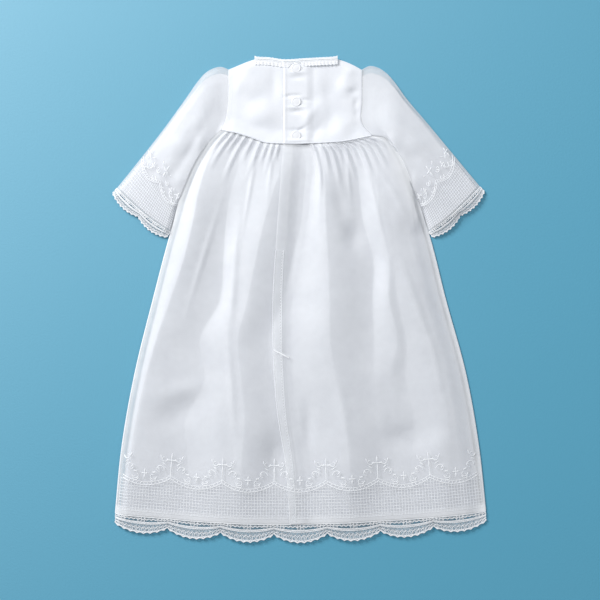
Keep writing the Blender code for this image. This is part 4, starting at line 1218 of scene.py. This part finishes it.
def border_lines(ground):
    """The worked border: swags with sprigs, and a flower between scrolls over each notch."""
    t = np.linspace(0.012, 0.988, 45 * HEM_SCALLOPS)
    lines = [
        (ground.place(t, swag_height(t) + 0.8 * MM), 0.55 * MM),
        (ground.place(t, swag_height(t) + 4.6 * MM), 0.42 * MM),
    ]
    for bead in np.linspace(0.012, 0.988, 14 * HEM_SCALLOPS):
        tilt = 0.9 if (bead * HEM_SCALLOPS) % 1.0 < 0.5 else -0.9
        lines.append(leaf(ground, bead, swag_height(bead) + 2.7 * MM, 3.4 * MM, tilt, 0.6 * MM))
    for number in range(HEM_SCALLOPS + 1):
        t0 = number / HEM_SCALLOPS
        for side in (-1, 1):
            if not 0.02 < t0 + side * 0.03 < 0.98:
                continue
            reach = side * 9 * MM / ground.width
            for out, up, size, way in ((1, 62, 6.6, -side), (2.1, 53, 5.4, side), (0.6, 77, 4.8, side)):
                lines.append(scroll(ground, t0 + out * reach, up * MM, size * MM, side, way))
            for out, up, angle in ((1.5, 70, 0.6), (2.6, 64, 0.9), (3.4, 58, 0.3), (2.2, 79, 1.2)):
                t = t0 + out * reach * 0.75
                lines.append(leaf(ground, t, up * MM, 5.6 * MM, side * angle, 0.85 * MM))
        if 0.02 < t0 < 0.98:
            lines += floret(ground, t0, 75 * MM, 8.4 * MM)
            lines.append((ground.place(np.full(6, t0), np.linspace(54, 68, 6) * MM), 0.6 * MM))
    for number in range(HEM_SCALLOPS):
        t0 = (number + 0.5) / HEM_SCALLOPS
        lines += floret(ground, t0, 56 * MM, 5.2 * MM)
        for side in (-1, 1):
            reach = side * 8 * MM / ground.width
            lines.append(scroll(ground, t0 + reach, 50 * MM, 4.8 * MM, side, side))
            lines.append(leaf(ground, t0 + 1.6 * reach, 58 * MM, 5.4 * MM, side * 0.5, 0.8 * MM))
    return lines


def build_hem_border():
    """The net and embroidery above the hem, over the back's folds and on the flat front."""
    width = float(np.linalg.norm(hem(1.0) - hem(0.0)))
    for layer, heights in (
        ("back", lambda x, y: skirt_z(x, y) + THREAD_LIFT),
        ("front", lambda x, y: FRONT_Z - 0.3 * MM),
    ):
        ground = Ground(on_skirt(heights), width)
        thread_piece(f"hem_border_{layer}", net_lines(ground.place) + border_lines(ground), thread)


def build_cuff_border(side, surface):
    """The same net and sprigs, at a smaller scale, round the lower sleeve."""
    length = float(np.linalg.norm(surface(0.5, 1.0) - surface(0.5, 0.0)))
    width = float(np.linalg.norm(surface(1.0, 1.0) - surface(0.0, 1.0)))

    def on_sleeve(t, up):
        t, up = spread(t, up)
        s = 1 - up / length
        return raised(surface(t, s), sleeve_z(surface, t, s) + THREAD_LIFT)

    ground = Ground(on_sleeve, width)
    lines = []
    for t in np.linspace(0.03, 0.97, round(width / CUFF_CELL)):
        lines.append((on_sleeve(np.full(8, t), np.linspace(1 * MM, cuff_swag(t), 8)), CUFF_NET_THREAD))
    for level in np.arange(CUFF_CELL, 34 * MM, CUFF_CELL):
        lines.append((on_sleeve(np.linspace(0.03, 0.97, 40), level), CUFF_NET_THREAD))
    t = np.linspace(0.02, 0.98, 60)
    lines.append((on_sleeve(t, cuff_swag(t) + 0.8 * MM), 0.5 * MM))
    lines.append((on_sleeve(t, cuff_swag(t) + 4.2 * MM), 0.4 * MM))
    for bead in np.linspace(0.04, 0.96, 24):
        lines.append(leaf(ground, bead, cuff_swag(bead) + 2.5 * MM, 3.2 * MM, 0.9, 0.55 * MM))
    florets = ((0.5, 62, 7.0), (0.25, 51, 4.5), (0.75, 51, 4.5), (0.07, 55, 5.0), (0.93, 55, 5.0))
    for t0, up, size in florets:
        lines += floret(ground, t0, up * MM, size * MM)
        for turn in (-1, 1):
            step = turn * 8 * MM / width
            if 0.03 < t0 + 2 * step < 0.97:
                lines.append(scroll(ground, t0 + step, (up - 8) * MM, 4.6 * MM, turn, turn))
                lines.append(leaf(ground, t0 + 1.4 * step, (up + 2) * MM, 5.0 * MM, turn * 0.7, 0.8 * MM))
    thread_piece(f"cuff_border_{side}", lines, thread)


# Seams, bands and edges


def build_skirt_edges():
    """The turned band down the centre back, its stitching and bar tack, and the side seams."""
    t = BAND_START + (1 - BAND_START) * shares(BAND_STEPS)
    edge = centre_back(t)
    width = (9.0 + 3.5 * np.sin(math.pi * t) ** 2) * MM

    def on_band(offset, lift):
        xy = edge + np.column_stack([offset, 0 * offset])
        return raised(xy, skirt_z(xy[:, 0], xy[:, 1]) + lift)

    grid = np.stack([on_band(width * a + 0.3 * MM, 0.35 * MM) for a in shares(7)])
    band = sheet_piece("centre_back_band", grid, organza_band)
    lines = [
        (on_band(width * 0 + 0.5 * MM, 0.4 * MM), 0.4 * MM),
        (on_band(width, 0.45 * MM), 0.3 * MM),
    ]
    stitching = on_band(width - 1.6 * MM, 0.6 * MM)
    for k in range(0, BAND_STEPS - 1, 2):
        lines.append((stitching[k : k + 2], 0.14 * MM))
    tack_start, tack_end = np.array([[-34.0, -66.0], [-13.0, -76.5]]) * MM
    tack = line_between(tack_start, tack_end)(shares(8))
    for shift in (-0.5, 0.5):
        xy = tack + np.array([0, shift * MM])
        lines.append((raised(xy, skirt_z(xy[:, 0], xy[:, 1]) + 0.5 * MM), 0.45 * MM))
    for side_line in (left_side, right_side):
        lines.append((raised(side_line(shares(180)), LAYER * 0.95), 1.0 * MM))
    thread_piece("skirt_seams", lines, thread)


def build_yoke_edges():
    """The waist seam's rolled edge, the armhole seams and the buttonholes."""
    xy = yoke_waist(np.linspace(0.004, 0.996, 200)) + np.array([0, 0.6 * MM])
    past = xy[:, 0] - YOKE_CENTRE_TOP[0] * MM
    lines = [(on_yoke(xy, 0.9 * MM + np.where(past > 0, yoke_lap(past), 0.0)), 0.9 * MM)]
    for edge, outward in ((yoke_left, -1), (yoke_right, 1)):
        for out, lift, radius in ((0.1, 0.7, 0.65), (-4.2, 0.85, 0.25)):
            xy = edge(shares(80)) + np.array([outward * out * MM, 0])
            lines.append((on_yoke(xy, lift * MM), radius * MM))
    thread_piece("yoke_seams", lines, satin, flatness=0.7, smooth=True)
    stitches = []
    for number in range(BUTTON_COUNT):
        y = BUTTON_TOP_Y - number * BUTTON_SPACING
        for k in np.linspace(-8.2, 8.2, 28):
            for shift in (-0.9, 0.9):
                stitch = [[BUTTON_X + k * MM, y + shift * end * MM] for end in (1.6, 0.4)]
                stitches.append((on_yoke(np.array(stitch), LAP_RISE + 1.15 * MM), 0.3 * MM))
    thread_piece("buttonholes", stitches, thread)


def build_neck_frill():
    """A bound neck edge with a narrow gathered lace frill below it."""
    u = shares(330)
    at = neck(u)
    wave = np.sin(2 * math.pi * FRILL_WAVES * u + 1.4 * np.sin(9 * u))
    lap = LAP_RISE * smooth_step((at[:, 0] - YOKE_CENTRE_TOP[0] * MM) / (1 * MM) + 1)
    near_button = np.clip(1.4 - np.abs(at[:, 0] - BUTTON_X) / (8 * MM), 0, 1)
    below = (6.2 + 0.5 * wave) * MM * (1 - 0.75 * smooth_step(near_button * 1.4))
    ends = 1.5 * MM * np.exp(-(((u - 0.5) / 0.49) ** 32))
    above = (2.6 + 0.2 * wave) * MM + 1.5 * MM - ends

    def row(reach, lift):
        y = at[:, 1] + reach
        base = yoke_back_z(at[:, 0], np.minimum(y, at[:, 1] - 1 * MM)) + lap + 1.5 * MM
        return np.column_stack([at[:, 0], y, base + lift])

    rows = [
        row(above, 0.2 * MM), row(above * 0.5, 0.4 * MM), row(0 * above, 0.3 * MM),
        row(-below * 0.35, 0.06 * MM * wave + 0.2 * MM), row(-below * 0.7, 0.1 * MM * wave + 0.2 * MM),
        row(-below, 0.12 * MM * wave + 0.1 * MM),
    ]
    frill = sheet_piece("neck_frill_lace", np.stack(rows), frill_cloth, ["neck_frill"])
    picot = 0.7 * MM * np.abs(np.sin(math.pi * FRILL_PICOTS * u))
    lines = [
        (row(above + 0.4 * picot, 0.4 * MM), 0.75 * MM),
        (row(above * 0.45, 0.6 * MM), 0.8 * MM),
        (row(0 * u - 0.6 * MM, 0.4 * MM), 0.4 * MM),
        (row(-below - picot, 0.12 * MM * wave + 0.15 * MM), 0.4 * MM),
        (row(-below * 0.6 - 0.5 * picot, 0.1 * MM * wave + 0.3 * MM), 0.28 * MM),
    ]
    worked = thread_piece("neck_frill_threads", lines, thread)


def build_buttons():
    """Pearly buttons with a low crown and a rim, over their buttonholes."""
    profile = (
        (0.0, 0.52), (0.3, 0.55), (0.55, 0.50), (0.68, 0.44), (0.78, 0.52), (0.88, 0.56), (0.96, 0.46),
        (1.0, 0.30), (0.95, 0.08), (0.6, 0.0), (0.0, 0.0),
    )
    angle = np.linspace(0, 2 * math.pi, 48, endpoint=False)
    circle = np.column_stack([np.cos(angle), np.sin(angle)])
    for number in range(BUTTON_COUNT):
        node = f"button_{number + 1}"
        low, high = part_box(node)
        centre = np.array((low + high) / 2)[:2] - ORIGIN_SHIFT
        seat = float(yoke_back_z(centre[:1], centre[1:])[0]) + LAP_RISE + 0.7 * MM
        rings = []
        for share, level in profile:
            ring = centre + max(share, 0.004) * BUTTON_DIAMETER / 2 * circle
            rings.append(raised(ring, seat + BUTTON_CROWN * level))
        sheet_piece(f"{node}_shell", np.stack(rings), pearl, [node], closed=True)


# Camera, floor and light


def build_stage():
    """The blue surface, the camera above it, two lights and the white surroundings."""
    half = FLOOR_SIDE / 2
    mesh = bpy.data.meshes.new("floor")
    corners = [(-half, -half, 0), (half, -half, 0), (half, half, 0), (-half, half, 0)]
    mesh.from_pydata(corners, [], [(0, 1, 2, 3)])
    mesh.materials.append(floor_material())
    linked("floor", mesh)

    camera = bpy.data.cameras.new("camera")
    camera.sensor_width = 36.0
    camera.lens = camera.sensor_width * CAMERA_HEIGHT / (PHOTO_SIDE * PIXEL)
    eye = linked("camera", camera)
    eye.location = (PHOTO_MIDDLE[0] + ORIGIN_SHIFT[0], PHOTO_MIDDLE[1] + ORIGIN_SHIFT[1], CAMERA_HEIGHT)
    bpy.context.scene.camera = eye

    for name, (x, y, z), width, power in LIGHTS:
        light = bpy.data.lights.new(name, "AREA")
        light.size = width
        light.energy = power
        lamp = linked(name, light)
        lamp.location = (x, y, z)
        lamp.rotation_euler = (0.0, math.atan2(math.hypot(x, y), z), math.atan2(y, x))

    world = bpy.data.worlds.new("studio")
    world.use_nodes = True
    background = world.node_tree.nodes["Background"]
    background.inputs["Color"].default_value = (0.93, 0.96, 1.0, 1)
    background.inputs["Strength"].default_value = 0.36
    bpy.context.scene.world = world
    bpy.context.scene.view_settings.view_transform = "Standard"


def main():
    """Builds the gown on its surface."""
    build_stage()
    build_skirt_lining()
    build_skirt()
    build_yoke()
    for side, yoke_edge, skirt_side, fold, cuff_middle, outward in (
        ("left", yoke_left, left_side, LEFT_SLEEVE_FOLD, LEFT_CUFF_MIDDLE, -1),
        ("right", yoke_right, right_side, RIGHT_SLEEVE_FOLD, RIGHT_CUFF_MIDDLE, 1),
    ):
        surface, cuff = sleeve_shape(yoke_edge, skirt_side, fold, cuff_middle, outward)
        build_sleeve(side, surface)
        build_cuff_border(side, surface)
        for layer, heights in (("back", cuff_lace_height(cuff)), ("front", flat_height)):
            name = f"cuff_lace_{layer}_{side}"
            build_lace(name, name, cuff, cuff_reach, heights, CUFF_SCALLOPS, 0.0, 1.0, -outward)
    bars = HEM_SCALLOPS * BARS_IN_SCALLOP
    split = round(HEM_SHARE * bars) / bars
    for name, node, heights, start, end in (
        ("hem_lace_left", "hem_lace_back_left", hem_lace_height, 0.0, split),
        ("hem_lace_right", "hem_lace_back_right", hem_lace_height, split, 1.0),
        ("hem_lace_under", "hem_lace_front", flat_height, 0.0, 1.0),
    ):
        build_lace(name, node, hem, hem_reach, heights, HEM_SCALLOPS, start, end, 1)
    build_hem_border()
    build_skirt_edges()
    build_yoke_edges()
    build_neck_frill()
    build_buttons()


main()
